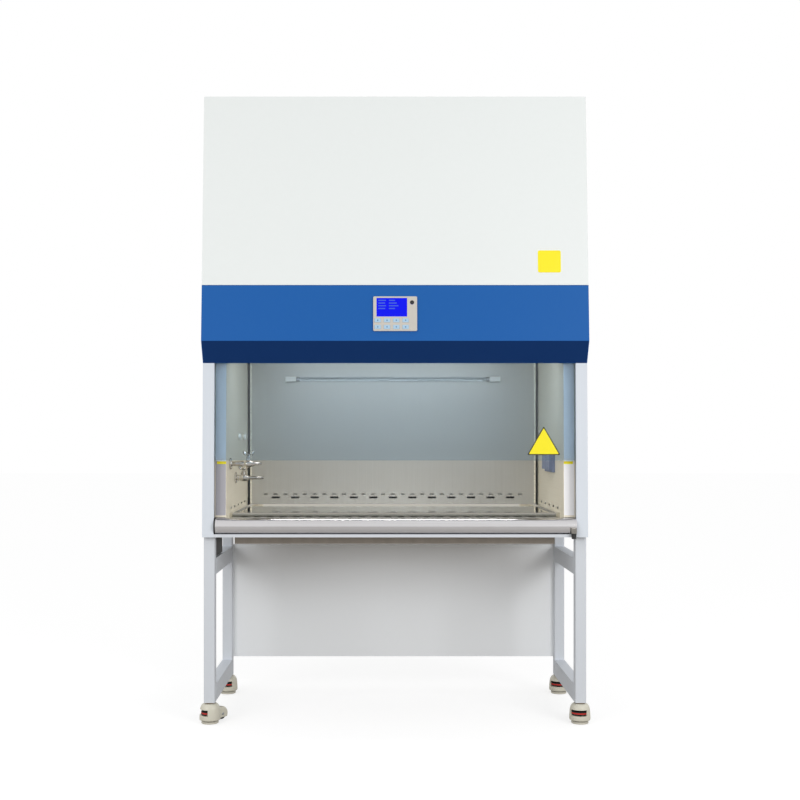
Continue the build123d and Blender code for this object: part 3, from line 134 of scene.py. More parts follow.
def brushed_group():
    """Brushed steel: hair lines along one axis, with slow changes of tone across the sheet."""
    group, given, out = new_group(
        "brushed_lines",
        [("Color", "Light", (0.8, 0.8, 0.78, 1)), ("Color", "Dark", (0.6, 0.6, 0.58, 1)),
         ("Float", "Lines", 1.0), ("Float", "Sheen", 0.25), ("Vector", "Along", (2.0, 400.0, 400.0))],
        [("Color", "Colour"), ("Float", "Roughness"), ("Float", "Height")])
    place = group.nodes.new("ShaderNodeTexCoord")
    stretched = group.nodes.new("ShaderNodeVectorMath")
    stretched.operation = "MULTIPLY"
    group.links.new(place.outputs["Object"], stretched.inputs[0])
    group.links.new(given.outputs["Along"], stretched.inputs[1])
    hair = group.nodes.new("ShaderNodeTexNoise")
    hair.inputs["Scale"].default_value = 1.0
    hair.inputs["Detail"].default_value = 4.0
    group.links.new(stretched.outputs[0], hair.inputs["Vector"])
    cloud = noise(group, 2.4, 3.0)
    tone = math_node(group, "ADD", math_node(group, "MULTIPLY", hair.outputs["Fac"], 0.6),
                     math_node(group, "MULTIPLY", cloud, 0.4), True)
    colour = mix_colour(group, tone, given.outputs["Light"], given.outputs["Dark"])
    group.links.new(colour, out.inputs["Colour"])
    spread = math_node(group, "MULTIPLY", hair.outputs["Fac"], 0.16)
    group.links.new(math_node(group, "ADD", given.outputs["Sheen"], spread), out.inputs["Roughness"])
    height = math_node(group, "MULTIPLY", hair.outputs["Fac"], given.outputs["Lines"])
    group.links.new(height, out.inputs["Height"])
    return group


def moulded_group():
    """Moulded plastic or rubber: fine spark texture, and a little dust in the tone."""
    group, given, out = new_group(
        "moulded_surface",
        [("Color", "Plastic", (0.5, 0.5, 0.5, 1)), ("Color", "Dust", (0.6, 0.58, 0.54, 1)),
         ("Float", "Dusting", 0.1), ("Float", "Spark", 1400.0), ("Float", "Sheen", 0.4)],
        [("Color", "Colour"), ("Float", "Roughness"), ("Float", "Height")])
    cloud = noise(group, 45.0, 4.0)
    amount = math_node(group, "MULTIPLY", cloud, given.outputs["Dusting"], True)
    colour = mix_colour(group, amount, given.outputs["Plastic"], given.outputs["Dust"])
    group.links.new(colour, out.inputs["Colour"])
    rough = math_node(group, "ADD", given.outputs["Sheen"], math_node(group, "MULTIPLY", cloud, 0.15))
    group.links.new(rough, out.inputs["Roughness"])
    group.links.new(noise(group, given.outputs["Spark"], 1.0), out.inputs["Height"])
    return group


POWDER, BRUSHED, MOULDED = powder_coat_group(), brushed_group(), moulded_group()


# ---------------------------------------------------------------- materials
def linear(red, green, blue):
    """Screen colour of 0 to 255 as scene colour."""
    c = np.array([red, green, blue]) / 255.0
    c = np.where(c <= 0.04045, c / 12.92, ((c + 0.055) / 1.055) ** 2.4)
    return (float(c[0]), float(c[1]), float(c[2]), 1.0)


def finish_of(name, group, settings, bump=0.0, distance=0.0002, metallic=0.0, **constants):
    """A material whose Principled shader reads colour, roughness and bump from one node group."""
    material = bpy.data.materials.new(name)
    material.use_nodes = True
    tree = material.node_tree
    shader = tree.nodes["Principled BSDF"]
    surface = tree.nodes.new("ShaderNodeGroup")
    surface.node_tree = group
    for label, value in settings.items():
        surface.inputs[label].default_value = value
    tree.links.new(surface.outputs["Colour"], shader.inputs["Base Color"])
    tree.links.new(surface.outputs["Roughness"], shader.inputs["Roughness"])
    if bump:
        relief = tree.nodes.new("ShaderNodeBump")
        relief.inputs["Strength"].default_value = bump
        relief.inputs["Distance"].default_value = distance
        tree.links.new(surface.outputs["Height"], relief.inputs["Height"])
        tree.links.new(relief.outputs["Normal"], shader.inputs["Normal"])
    shader.inputs["Metallic"].default_value = metallic
    for label, value in constants.items():
        shader.inputs[label.replace("_", " ")].default_value = value
    return material


def paint(name, colour, marks, marking=0.08, sheen=0.38, **constants):
    """Powder coat of a colour, with handling marks of another."""
    return finish_of(name, POWDER, {"Paint": linear(*colour), "Marks": linear(*marks), "Marking": marking,
                                    "Sheen": sheen}, bump=0.12, **constants)


def steel(name, light, dark, along, sheen=0.25, bump=0.1, metallic=1.0):
    """Steel between a light and a dark tone; its hair lines run the ways that are stretched least."""
    return finish_of(name, BRUSHED, {"Light": linear(*light), "Dark": linear(*dark), "Along": along,
                                     "Sheen": sheen}, bump=bump, distance=0.0001, metallic=metallic)


def plastic(name, colour, dust=(150, 147, 140), dusting=0.08, sheen=0.4, bump=0.1, **constants):
    """Moulded plastic, rubber or paper of a colour, with dust of another."""
    return finish_of(name, MOULDED, {"Plastic": linear(*colour), "Dust": linear(*dust), "Dusting": dusting,
                                     "Sheen": sheen}, bump=bump, distance=0.0001, **constants)


def glass(name, colour, roughness=0.02, ior=1.45):
    """Clear sheet glass, a little uneven in roughness from wiping."""
    material = bpy.data.materials.new(name)
    material.use_nodes = True
    tree = material.node_tree
    shader = tree.nodes["Principled BSDF"]
    shader.inputs["Base Color"].default_value = linear(*colour)
    shader.inputs["Transmission Weight"].default_value = 1.0
    shader.inputs["IOR"].default_value = ior
    wiped = math_node(tree, "MULTIPLY", noise(tree, 5.0, 4.0, (1.0, 1.0, 0.3)), roughness)
    tree.links.new(wiped, shader.inputs["Roughness"])
    return material


WHITE = paint("white_powder_coat", (238, 243, 243), (220, 224, 222), sheen=0.45, Specular_IOR_Level=0.3)
BLUE = paint("blue_powder_coat", (22, 94, 172), (38, 104, 170), 0.2, 0.4, Specular_IOR_Level=0.2)
# Darker copy of the fascia blue for its lower face: painted shade, where less light falls under the nose.
BLUE_PAINTED_SHADE = paint("blue_coat_painted_shade", (13, 50, 104), (20, 56, 104), 0.2, 0.5, Specular_IOR_Level=0.1)
SIDE_WHITE = paint("side_powder_coat", (220, 227, 236), (204, 210, 216), sheen=0.45, Specular_IOR_Level=0.3)
PANEL_WHITE = paint("panel_powder_coat", (238, 241, 244), (222, 226, 230), sheen=0.45, Specular_IOR_Level=0.3)
GREY = paint("pale_grey_powder_coat", (214, 219, 226), (196, 200, 204), sheen=0.45, Specular_IOR_Level=0.3)
FINE_LEVEL_LINES = (3.0, 3.0, 420.0)
FINE_UPRIGHT_LINES = (420.0, 3.0, 3.0)
WALL_STEEL = steel("satin_wall_steel", (246, 239, 221), (228, 220, 202), FINE_LEVEL_LINES, 0.36,
                   metallic=0.35)
REAR_STEEL = steel("satin_rear_steel", (194, 193, 188), (174, 172, 166), FINE_UPRIGHT_LINES, 0.36,
                   metallic=0.55)
TRAY_STEEL = steel("polished_tray_steel", (208, 206, 198), (186, 183, 174), (3.0, 420.0, 420.0), -0.04, 0.01)
ROLL_STEEL = steel("polished_armrest_steel", (218, 218, 222), (192, 188, 186), (1.5, 500.0, 500.0), 0.12,
                   0.04)
ZINC = steel("zinc_plated_steel", (176, 180, 184), (150, 154, 158), (40.0, 40.0, 40.0), 0.35)
ALUMINIUM = steel("anodised_aluminium", (196, 198, 202), (174, 176, 180), (400.0, 400.0, 3.0), 0.3)
# Chrome plate: its dark tone, in patches, is painted reflection of a darker room.
CHROME_PAINTED_REFLECTIONS = steel("chrome_plate_painted_reflections", (236, 233, 228), (98, 91, 82), (60.0, 60.0, 60.0), 0.0, 0.0)
BEIGE = plastic("beige_bezel", (205, 200, 192))
LAMP_PLASTIC = plastic("white_lamp_plastic", (236, 236, 232), sheen=0.3)
KEYS = plastic("pale_blue_keys", (176, 210, 236), sheen=0.45)
KEY_DOT = plastic("blue_key_dot", (92, 138, 184), sheen=0.45)
IVORY = plastic("ivory_housing", (216, 213, 198), (180, 174, 158), 0.15, 0.3)
NYLON = plastic("black_nylon_wheel", (26, 26, 28), (90, 88, 84), 0.2, 0.35)
RUBBER = plastic("black_rubber_foot", (22, 22, 22), (80, 78, 74), 0.25, 0.7)
BLACK = plastic("black_moulding", (18, 18, 20), (70, 68, 66), 0.1, 0.45)
SOCKET = plastic("blue_grey_socket", (126, 138, 168), sheen=0.4)
MEDIA = plastic("filter_paper", (232, 230, 220), (206, 202, 190), 0.3, 0.9, 0.4)
YELLOW = plastic("yellow_plate", (255, 240, 0), (230, 214, 30), 0.12, 0.35)
COLLAR = steel("bronze_collar", (128, 104, 72), (92, 74, 50), (60.0, 60.0, 60.0), 0.35)
RED = plastic("red_dial", (196, 34, 26), (140, 50, 40), 0.15, 0.35)
SASH_GLASS = glass("tinted_sash_glass", (204, 220, 232))
TUBE_GLASS = glass("uv_tube_glass", (240, 244, 248), 0.2, 1.05)
SCREEN = plastic("blue_screen", (0, 6, 226), (8, 24, 216), 0.1, 0.3, Specular_IOR_Level=0.15)
screen_shader = SCREEN.node_tree.nodes["Principled BSDF"]
screen_shader.inputs["Emission Color"].default_value = (0.0, 0.01, 0.8, 1)
screen_shader.inputs["Emission Strength"].default_value = 0.2
SCREEN_BAR = plastic("pale_screen_bar", (70, 100, 228), (60, 84, 214), 0.3, 0.3, Specular_IOR_Level=0.15)
PAD = plastic("pale_rubber_pad", (212, 208, 194), (170, 165, 150), 0.25, 0.5)
PORT_WHITE = plastic("white_port_plug", (240, 240, 236), sheen=0.3)
TRIM = steel("bright_corner_trim", (244, 240, 226), (228, 222, 206), FINE_LEVEL_LINES, 0.2, metallic=0.4)
# Films over the flange steel beside the sash: a dull grey one as painted shade, a near-white one as painted
# light.
FLANGE_PAINTED_SHADE = steel("flange_steel_painted_shade", (184, 183, 190), (170, 169, 176), FINE_LEVEL_LINES, 0.3,
                      metallic=0.2)
FLANGE_PAINTED_LIGHT = paint("flange_painted_light", (252, 252, 254), (240, 240, 242), 0.08, 0.3)
# Bare steel of the drain pan, darkened as painted shade of the cabinet's underside.
PAN_STEEL_PAINTED_SHADE = steel("pan_steel_painted_shade", (150, 142, 132), (112, 105, 97), (26.0, 3.0, 3.0), 0.3, metallic=0.6)

COVERING = {
    "painted_white": WHITE, "painted_blue": BLUE, "painted_grey": GREY, "stainless_brushed": WALL_STEEL,
    "stainless_polished": ROLL_STEEL, "chrome": CHROME_PAINTED_REFLECTIONS, "clear_glass": SASH_GLASS, "tube_glass": TUBE_GLASS,
    "white_plastic": LAMP_PLASTIC, "beige_plastic": BEIGE, "display_blue": SCREEN, "key_blue": KEYS,
    "ivory_plastic": IVORY, "nylon": NYLON, "black_rubber": RUBBER, "black_plastic": BLACK,
    "socket_plastic": SOCKET, "filter_media": MEDIA, "galvanised_steel": ZINC, "aluminium": ALUMINIUM,
}
OWN_FINISH = {
    "work_tray": TRAY_STEEL, "intake_grille": TRAY_STEEL, "inner_rear_wall": REAR_STEEL,
    "side_panel_left": SIDE_WHITE, "side_panel_right": SIDE_WHITE, "stand_rear_panel": PANEL_WHITE,
}
for entry in frame["record"]["subparts"]:
    node = frame["nodes"][entry["node"]]
    finish = OWN_FINISH.get(entry["node"], COVERING[entry["material_slot"]])
    node.data.materials.clear()
    node.data.materials.append(finish)


# ---------------------------------------------------------------- shapes
def put(name, points, faces, material, body, slot):
    """A mesh object from an array of points and a list of faces, riding on a body."""
    mesh = bpy.data.meshes.new(name)
    mesh.from_pydata(points.tolist(), [], faces)
    mesh.materials.append(material)
    mesh.update()
    piece = bpy.data.objects.new(name, mesh)
    bpy.context.scene.collection.objects.link(piece)
    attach(piece, body)
    return piece


def ring_faces(rings, around):
    """Quads between neighbouring rings of a closed loft, counter-clockwise seen from outside."""
    i, j = np.meshgrid(np.arange(rings - 1), np.arange(around), indexing="ij")
    nxt = (j + 1) % around
    a, b = i * around + j, i * around + nxt
    return np.stack([a, b, b + around, a + around], axis=-1).reshape(-1, 4).tolist()


def lofted(rings, around):
    """Faces of a loft that is closed by a lid on its first ring and one on its last."""
    first = list(range(around))[::-1]
    last = [(rings - 1) * around + k for k in range(around)]
    return ring_faces(rings, around) + [first, last]


def joined(parts):
    """Several (points, faces) as one."""
    points, faces, start = [], [], 0
    for part_points, part_faces in parts:
        points.append(part_points)
        faces += [[k + start for k in face] for face in part_faces]
        start += len(part_points)
    return np.concatenate(points), faces


def rounded_outline(half_width, half_height, radius, corner_steps=6):
    """Rounded rectangle: quarter circles of one radius about the four inset corners."""
    quarter = np.linspace(0, np.pi / 2, corner_steps)
    angle = np.concatenate([quarter + k * np.pi / 2 for k in range(4)])
    side_x = np.repeat([1, -1, -1, 1], corner_steps) * (half_width - radius)
    side_y = np.repeat([1, 1, -1, -1], corner_steps) * (half_height - radius)
    return np.stack([side_x + radius * np.cos(angle), side_y + radius * np.sin(angle)], axis=-1)


def raised_plate(half_width, half_height, radius, profile):
    """Loft of rounded rectangles: each (inset, height) of the profile draws one ring in and lifts it."""
    rings = []
    for inset, height in profile:
        flat = rounded_outline(half_width - inset, half_height - inset, max(radius - inset, 1e-5))
        rings.append(np.column_stack([flat, np.full(len(flat), height)]))
    return np.concatenate(rings), lofted(len(rings), len(rings[0]))


def triangle_plate(side, radius, profile):
    """Loft of equilateral triangles; each corner is a third of a circle about the drawn-in corner."""
    reach = side / math.sqrt(3)
    arc = np.linspace(-np.pi / 3, np.pi / 3, 8)
    rings = []
    for inset, height in profile:
        ring = []
        for k in range(3):
            towards = np.pi / 2 + k * 2 * np.pi / 3
            middle = (reach - 2 * radius) * np.array([np.cos(towards), np.sin(towards)])
            turn = np.stack([np.cos(towards + arc), np.sin(towards + arc)], axis=-1)
            ring.append(middle + (radius - inset) * turn)
        flat = np.concatenate(ring)
        rings.append(np.column_stack([flat, np.full(len(flat), height)]))
    return np.concatenate(rings), lofted(len(rings), len(rings[0]))


def onto(points, origin, right, up):
    """Carries (across, up, out) points to a plane in the cabinet's frame; out is right x up."""
    right, up = np.array(right, float), np.array(up, float)
    out = np.cross(right, up)
    return np.array(origin) + points[:, :1] * right + points[:, 1:2] * up + points[:, 2:3] * out


def ring_about(axis, around):
    """Unit vectors square to an axis, evenly spaced round it, and their angles."""
    side = np.cross(axis, [0, 0, 1] if abs(axis[2]) < 0.9 else [1, 0, 0])
    side /= np.linalg.norm(side)
    angle = np.linspace(0, 2 * np.pi, around, endpoint=False)
    ring = np.cos(angle)[:, None] * side + np.sin(angle)[:, None] * np.cross(axis, side)
    return ring, angle


def turned_along(profile, start, axis, around=64, wave=0.0, waves=0):
    """Turned bar: each (distance, radius) of the profile is a ring of radius + wave cos(waves angle)."""
    profile = np.array(profile)
    axis = np.array(axis, float)
    ring, angle = ring_about(axis, around)
    radius = profile[:, 1:] + wave * np.cos(waves * angle)
    points = np.array(start) + profile[:, :1, None] * axis + radius[:, :, None] * ring
    return points.reshape(-1, 3), lofted(len(profile), around)


def turned_band(profile, centre, around, wave, waves):
    """Upright band: a closed (radius, height) profile, wave cos(waves angle) added to each radius."""
    profile = np.array(profile)
    angle = np.linspace(0, 2 * np.pi, around, endpoint=False)
    radius = profile[:, :1] + wave * np.cos(waves * angle)
    x = centre[0] + radius * np.cos(angle)
    y = centre[1] + radius * np.sin(angle)
    z = np.repeat(profile[:, 1:] + centre[2], around, axis=1)
    count = len(profile)
    faces = np.array(ring_faces(count + 1, around)) % (count * around)
    return np.stack([x, y, z], axis=-1).reshape(-1, 3), faces.tolist()


def rounded_bar(start, end, radius, edge=0.001):
    """Turned profile of one radius whose two rims are rounded off by quarter circles."""
    turn = np.linspace(0, np.pi / 2, 5)
    rim = [(start + edge * (1 - math.cos(a)), radius - edge * (1 - math.sin(a))) for a in turn]
    return rim + [(end - (x - start), r) for x, r in rim[::-1]]


def barrel(start, end, radius, waist, steps=9):
    """Turned profile that swells from waist to radius and back as a half sine."""
    t = np.linspace(0, 1, steps)
    return [(start + (end - start) * k, waist + (radius - waist) * math.sin(math.pi * k)) for k in t]


def pan_screw(radius, height, around=24, rings=9):
    """Pan head: height falls as the square root of 1 - r^4, with a cross recess cut into the crown."""
    r = np.linspace(0.12, 1.0, rings)[::-1]
    angle = np.linspace(0, 2 * np.pi, around, endpoint=False)
    r, angle = np.meshgrid(r, angle, indexing="ij")
    x, y = r * np.cos(angle), r * np.sin(angle)
    crown = np.sqrt(np.clip(1 - r ** 4, 0, 1))
    arm = np.maximum(np.exp(-(x / 0.13) ** 4), np.exp(-(y / 0.13) ** 4)) * (r < 0.62)
    z = height * (crown - 0.55 * arm * crown)
    points = np.stack([x * radius, y * radius, z], axis=-1).reshape(-1, 3)
    return points, lofted(rings, around)


def screws_on(origin, right, places, radius=0.0042, height=0.0020):
    """Pan screws at (across, up) places of one upright plane, each turned a little more than the last."""
    screws = []
    for k, (across, rise) in enumerate(places):
        points, faces = pan_screw(radius, height)
        turn = 0.7 * k
        spun = points.copy()
        spun[:, 0] = points[:, 0] * math.cos(turn) - points[:, 1] * math.sin(turn) + across
        spun[:, 1] = points[:, 0] * math.sin(turn) + points[:, 1] * math.cos(turn) + rise
        screws.append((onto(spun, origin, right, UP), faces))
    return joined(screws)


def weld_bead(start, end, radius=0.0008, spacing=0.004, around=8, steps_per_ripple=3):
    """Tube along a line, its radius growing and shrinking as 0.85 + 0.18 |sin|, once per ripple."""
    start, end = np.array(start, float), np.array(end, float)
    length = np.linalg.norm(end - start)
    along = (end - start) / length
    s = np.linspace(0, length, max(int(length / spacing) * steps_per_ripple, 6))
    r = radius * (0.85 + 0.18 * np.abs(np.sin(np.pi * s / spacing)))
    r[0] = r[-1] = radius * 0.3
    ring, _ = ring_about(along, around)
    points = start + s[:, None, None] * along + r[:, None, None] * ring
    return points.reshape(-1, 3), lofted(len(s), around)


def pleated_sheet(x_span, y_span, z, pitch, depth, down=True):
    """Pleated paper: z falls and rises as a triangle wave across x, the same all along y."""
    count = int(round((x_span[1] - x_span[0]) / pitch)) * 2 + 1
    x = np.linspace(x_span[0], x_span[1], count)
    fold = z + depth * (np.arange(count) % 2) * (1 if down else -1)
    rows = np.array([np.column_stack([x, np.full(count, y), fold]) for y in y_span])
    i = np.arange(count - 1)
    quads = np.stack([i, i + count, i + count + 1, i + 1], axis=-1)
    if not down:
        quads = quads[:, ::-1]
    return rows.reshape(-1, 3), quads.tolist()


# ---------------------------------------------------------------- leaning faces
HOOD_UP = (0.0, math.sin(HOOD_TILT), math.cos(HOOD_TILT))
HOOD_OUT = np.cross(RIGHT, HOOD_UP)
SASH_UP = (0.0, math.sin(SASH_TILT), math.cos(SASH_TILT))
EDGE = [(0.0, 0.0), (0.0, 0.0006), (0.0002, 0.0009), (0.0006, 0.001)]       # insets and heights of a plate
FILM = [(0.0, 0.0), (0.0, 0.0002), (0.0002, 0.0003)]                        # the same of a thin film


def hood_place(x, z):
    """Point on the leaning face of the hood and the fascia."""
    return (x, NOSE_Y + (z - NOSE_Z) * math.tan(HOOD_TILT), z)


def fascia_point(u, v, w):
    """Point u to the right, v up the slope from the foremost edge, and w out of the fascia."""
    return np.array([u, NOSE_Y, NOSE_Z]) + v * np.array(HOOD_UP) + w * HOOD_OUT


def sash_place(x, z, setback):
    """Point behind the leaning column face by the given distance."""
    return (x, FRONT_Y + (z - BASE_Z) * math.tan(SASH_TILT) + setback / math.cos(SASH_TILT), z)


# ---------------------------------------------------------------- plates and marks
PLATE_X, PLATE_Z = 0.551, 1.659
GLASS_SETBACK, FLANGE_SETBACK = 0.018, 0.040
TRIANGLE_X, TRIANGLE_Z = 0.5355, 1.0015
BORDER_SIDE, TRIANGLE_SIDE = 0.120, 0.108
MARK_X, MARK_Z, MARK_HALF_WIDTH, MARK_HALF_HEIGHT = 0.627, 0.939, 0.0165, 0.005

points, faces = raised_plate(0.041, 0.040, 0.006, EDGE)
points = onto(points, hood_place(PLATE_X, PLATE_Z), RIGHT, HOOD_UP)
put("hood_plate", points, faces, YELLOW, "cabinet", "painted_white")

triangle_middle = sash_place(TRIANGLE_X, TRIANGLE_Z, GLASS_SETBACK)
points, faces = triangle_plate(BORDER_SIDE, 0.003, FILM)
points = onto(points, triangle_middle, RIGHT, SASH_UP)
put("sash_triangle_border", points, faces, BLACK, "sash", "clear_glass")
points, faces = triangle_plate(TRIANGLE_SIDE, 0.002, [(0.0, 0.0002), (0.0, 0.0005), (0.0003, 0.0006)])
points = onto(points, triangle_middle, RIGHT, SASH_UP)
put("sash_triangle", points, faces, YELLOW, "sash", "clear_glass")

marks = []
for x in (-MARK_X, MARK_X):
    points, faces = raised_plate(MARK_HALF_WIDTH, MARK_HALF_HEIGHT, 0.0008, FILM)
    points = onto(points, sash_place(x, MARK_Z, FLANGE_SETBACK - 0.0004), RIGHT, SASH_UP)
    marks.append((points, faces))
put("sash_height_marks", *joined(marks), YELLOW, "cabinet", "stainless_brushed")


# ---------------------------------------------------------------- controls
SCREEN_TOP, READING_PITCH = 0.144, 0.0098                # up the fascia from its foremost edge
UPPER_KEYS, LOWER_KEYS, KEY_FACE = 0.072, 0.048, 0.0072
INFRARED_RADIUS = 0.0075


def screen_bars():
    """Plain bars in place of readings: four rows in two columns, each row its own lengths."""
    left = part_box("display_window")[0].x + 0.006
    flat = [(0.0, 0.0), (0.0, 0.00012), (0.0002, 0.0002)]
    bars = []
    for row in range(4):
        for shift, length in ((0.0, 0.028 - 0.003 * (row % 2)), (0.038, 0.022 + 0.006 * (row % 3))):
            points, faces = raised_plate(length / 2, 0.0022, 0.0006, flat)
            middle = fascia_point(left + shift + length / 2, SCREEN_TOP - READING_PITCH * row, 0.0054)
            bars.append((onto(points, middle, RIGHT, HOOD_UP), faces))
    return joined(bars)


dome = [(0.0, 0.006), (0.0, 0.0066), (0.0008, 0.0074), (0.003, 0.0078), (0.0055, 0.008)]
points, faces = raised_plate(INFRARED_RADIUS, INFRARED_RADIUS, INFRARED_RADIUS, dome)
points = onto(points, hood_place(0.060, 1.510), RIGHT, HOOD_UP)
put("infrared_window", points, faces, BLACK, "cabinet", "display_blue")

put("screen_bars", *screen_bars(), SCREEN_BAR, "cabinet", "display_blue")
for number in range(1, 9):
    key = "key_" + str(number)
    low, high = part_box(key)
    middle = fascia_point((low.x + high.x) / 2, UPPER_KEYS if number < 5 else LOWER_KEYS, KEY_FACE)
    points, faces = raised_plate(0.0026, 0.0026, 0.0026, [(0.0, 0.0), (0.0, 0.0001), (0.0003, 0.00018)])
    put("key_dot_" + str(number), onto(points, middle, RIGHT, HOOD_UP), faces, KEY_DOT, key, "key_blue")


# ---------------------------------------------------------------- taps and drain knob
def tap_turning(reach, handle_x):
    """Profile of a bench tap out from its wall: rose, nut, swelling body, neck and hose barbs."""
    body, barb, barbs = handle_x - 0.017, 0.007, 3
    tip = reach - 0.008 - barbs * barb
    profile = rounded_bar(0.0, 0.005, 0.021) + [(0.0052, 0.0095), (0.009, 0.0085)]
    profile += rounded_bar(body - 0.012, body - 0.002, 0.0105, 0.0008)
    profile += barrel(body, body + 0.034, 0.013, 0.0095)
    profile += rounded_bar(body + 0.0345, body + 0.0385, 0.0088, 0.0006)
    profile += [(body + 0.0388, 0.0062), (tip - 0.0005, 0.0062)]
    for k in range(barbs):
        profile += [(tip + barb * k, 0.0050), (tip + barb * k + 0.0012, 0.0065)]
        profile += [(tip + barb * (k + 1), 0.0050)]
    onward = [pair for k, pair in enumerate(profile) if k == 0 or pair[0] >= profile[k - 1][0]]
    return onward + [(reach, 0.0046)]


def tap_wing(half_length, hub, height, lift=0.011, steps=49, around=32):
    """Wing handle along x: two lobes, as Gaussian swellings near the ends, lifted as |t|^1.6 from a hub."""
    t = np.linspace(-1, 1, steps)
    lobe = np.exp(-((np.abs(t) - 0.72) / 0.24) ** 2)
    boss = np.exp(-(t / 0.3) ** 4)
    closing = np.sqrt(np.clip(1 - np.abs(t) ** 10, 0.0004, 1))
    wide = (0.0028 + 0.0030 * lobe + (hub - 0.0028) * boss) * closing
    tall = (0.0034 + 0.0042 * lobe + (height / 2 - 0.0034) * boss) * closing
    angle = np.linspace(0, 2 * np.pi, around, endpoint=False)
    x = np.repeat(half_length * t[:, None], around, axis=1)
    y = wide[:, None] * np.cos(angle)
    z = tall[:, None] * np.sin(angle) + lift * (np.abs(t) ** 1.6)[:, None]
    return np.stack([x, y, z], axis=-1).reshape(-1, 3), lofted(steps, around)


TAP_AXIS_HEIGHT = 0.021         # above the lowest point of the tap
for kind, handle_x in (("gas", 0.069), ("water", 0.032)):
    low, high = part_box(kind + "_tap_body")
    wall, y, z = low.x, (low.y + high.y) / 2, low.z + TAP_AXIS_HEIGHT
    body = turned_along(tap_turning(high.x - wall, handle_x), (wall, y, z), (1, 0, 0))
    bonnet = [(0.0, 0.0090), (0.0125, 0.0090)]
    bonnet += rounded_bar(0.0128, 0.0190, 0.0100, 0.0008)
    bonnet += rounded_bar(0.0194, 0.0278, 0.0082, 0.0008)
    bonnet = turned_along(bonnet, (wall + handle_x, y, z), UP, wave=0.00018, waves=24)
    tap = put(kind + "_tap_turning", *joined([body, bonnet]), CHROME_PAINTED_REFLECTIONS, "cabinet", "chrome")
    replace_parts(tap, kind + "_tap_body")
    low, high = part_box(kind + "_tap_handle")
    points, faces = tap_wing((high.x - low.x) / 2, 0.0078, high.z - low.z)
    middle = np.array([(low.x + high.x) / 2, (low.y + high.y) / 2, (low.z + high.z) / 2])
    handle = put(kind + "_tap_wing", points + middle, faces, CHROME_PAINTED_REFLECTIONS, kind + "_handle", "chrome")
    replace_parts(handle, kind + "_tap_handle")

low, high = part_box("drain_valve_knob")
foot = ((low.x + high.x) / 2, (low.y + high.y) / 2, low.z)
grip = rounded_bar(0.0, high.z - low.z, 0.01085, 0.0015)
points, faces = turned_along(grip, foot, UP, 96, 0.00015, 24)
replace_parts(put("drain_knob_grip", points, faces, CHROME_PAINTED_REFLECTIONS, "drain_knob", "chrome"), "drain_valve_knob")


# ---------------------------------------------------------------- lamp caps and outlets
OUTLET_X, OUTLET_Z = 0.608, 0.950
OUTLET_RIM = [(0.0, 0.0222), (0.0032, 0.0222), (0.0038, 0.0216), (0.0038, 0.0196), (0.0012, 0.0190),
              (0.0012, 0.0004)]
PIN_PLACES = ((-0.0095, 0.0), (0.0095, 0.0), (0.0, 0.0115))
# Black disc in place of a pin hole: painted shade inside the hole.
PIN_HOLE_SHADE = [(0.0, 0.0024), (0.0004, 0.0024), (0.0004, 0.0021)]

low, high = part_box("uv_lamp_tube")
middle = ((low.y + high.y) / 2, (low.z + high.z) / 2)
caps = [turned_along(rounded_bar(0.0, 0.014, 0.0084, 0.0012), (end, *middle), (inward, 0, 0), 48)
        for end, inward in ((low.x, 1), (high.x, -1))]
put("uv_tube_caps", *joined(caps), ALUMINIUM, "cabinet", "tube_glass")

for cover in ("front", "rear"):
    low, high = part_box("socket_cover_" + cover)
    middle = (low.y + high.y) / 2
    outlet = turned_along(OUTLET_RIM, (OUTLET_X, middle, OUTLET_Z), (-1, 0, 0), 72)
    put("outlet_face_" + cover, *outlet, LAMP_PLASTIC, "cabinet", "socket_plastic")
    # Black discs for the pin holes: painted shade inside them.
    hole_shades = [turned_along(PIN_HOLE_SHADE, (OUTLET_X - 0.0011, middle + dy, OUTLET_Z + dz), (-1, 0, 0), 24)
            for dy, dz in PIN_PLACES]
    put("outlet_hole_shade_" + cover, *joined(hole_shades), BLACK, "cabinet", "socket_plastic")


# ---------------------------------------------------------------- lower face of the fascia
# A thin film of darker blue over the fascia's lower face: painted shade on the same blue paint.
low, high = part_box("control_fascia")
heel = np.array([0.0, FRONT_Y + (low.z - BASE_Z) * math.tan(SASH_TILT), low.z])
nose = np.array([0.0, low.y, NOSE_Z])
run = np.linalg.norm(nose - heel)
points, faces = raised_plate(high.x - 0.0016, run / 2 - 0.0008, 0.0006, FILM)
points = onto(points, (nose + heel) / 2, RIGHT, (nose - heel) / run)
put("fascia_soffit_painted_shade", points, faces, BLUE_PAINTED_SHADE, "cabinet", "painted_blue")


# ---------------------------------------------------------------- screws and weld seams
BACK_SCREW_INSET, BACK_SCREW_SINK = 0.016, 0.0004
GUARD_GAP, GUARD_SCREW_HEIGHT, GUARD_SCREWS = 0.0008, 0.012, (0.06, 0.5, 0.94)
BOX_INSET_Y, BOX_INSET_Z = 0.012, 0.010
TUBE = 0.040                                              # square tube of the stand
LOW_RAIL, HIGH_RAIL = (0.0758, 0.137), (0.535, 0.593)     # lower and upper faces of the side rails

low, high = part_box("back_panel")
across = np.linspace(BACK_SCREW_INSET, high.x - low.x - BACK_SCREW_INSET, 6)
upward = np.linspace(BACK_SCREW_INSET, high.z - low.z - BACK_SCREW_INSET, 7)
places = [(x, z) for x in across for z in (upward[0], upward[-1])]
places += [(x, z) for x in (across[0], across[-1]) for z in upward[1:-1]]
corner = (high.x, high.y - BACK_SCREW_SINK, low.z)
screws = screws_on(corner, (-1, 0, 0), places, height=0.0008)
put("back_panel_screws", *screws, ZINC, "cabinet", "painted_white")

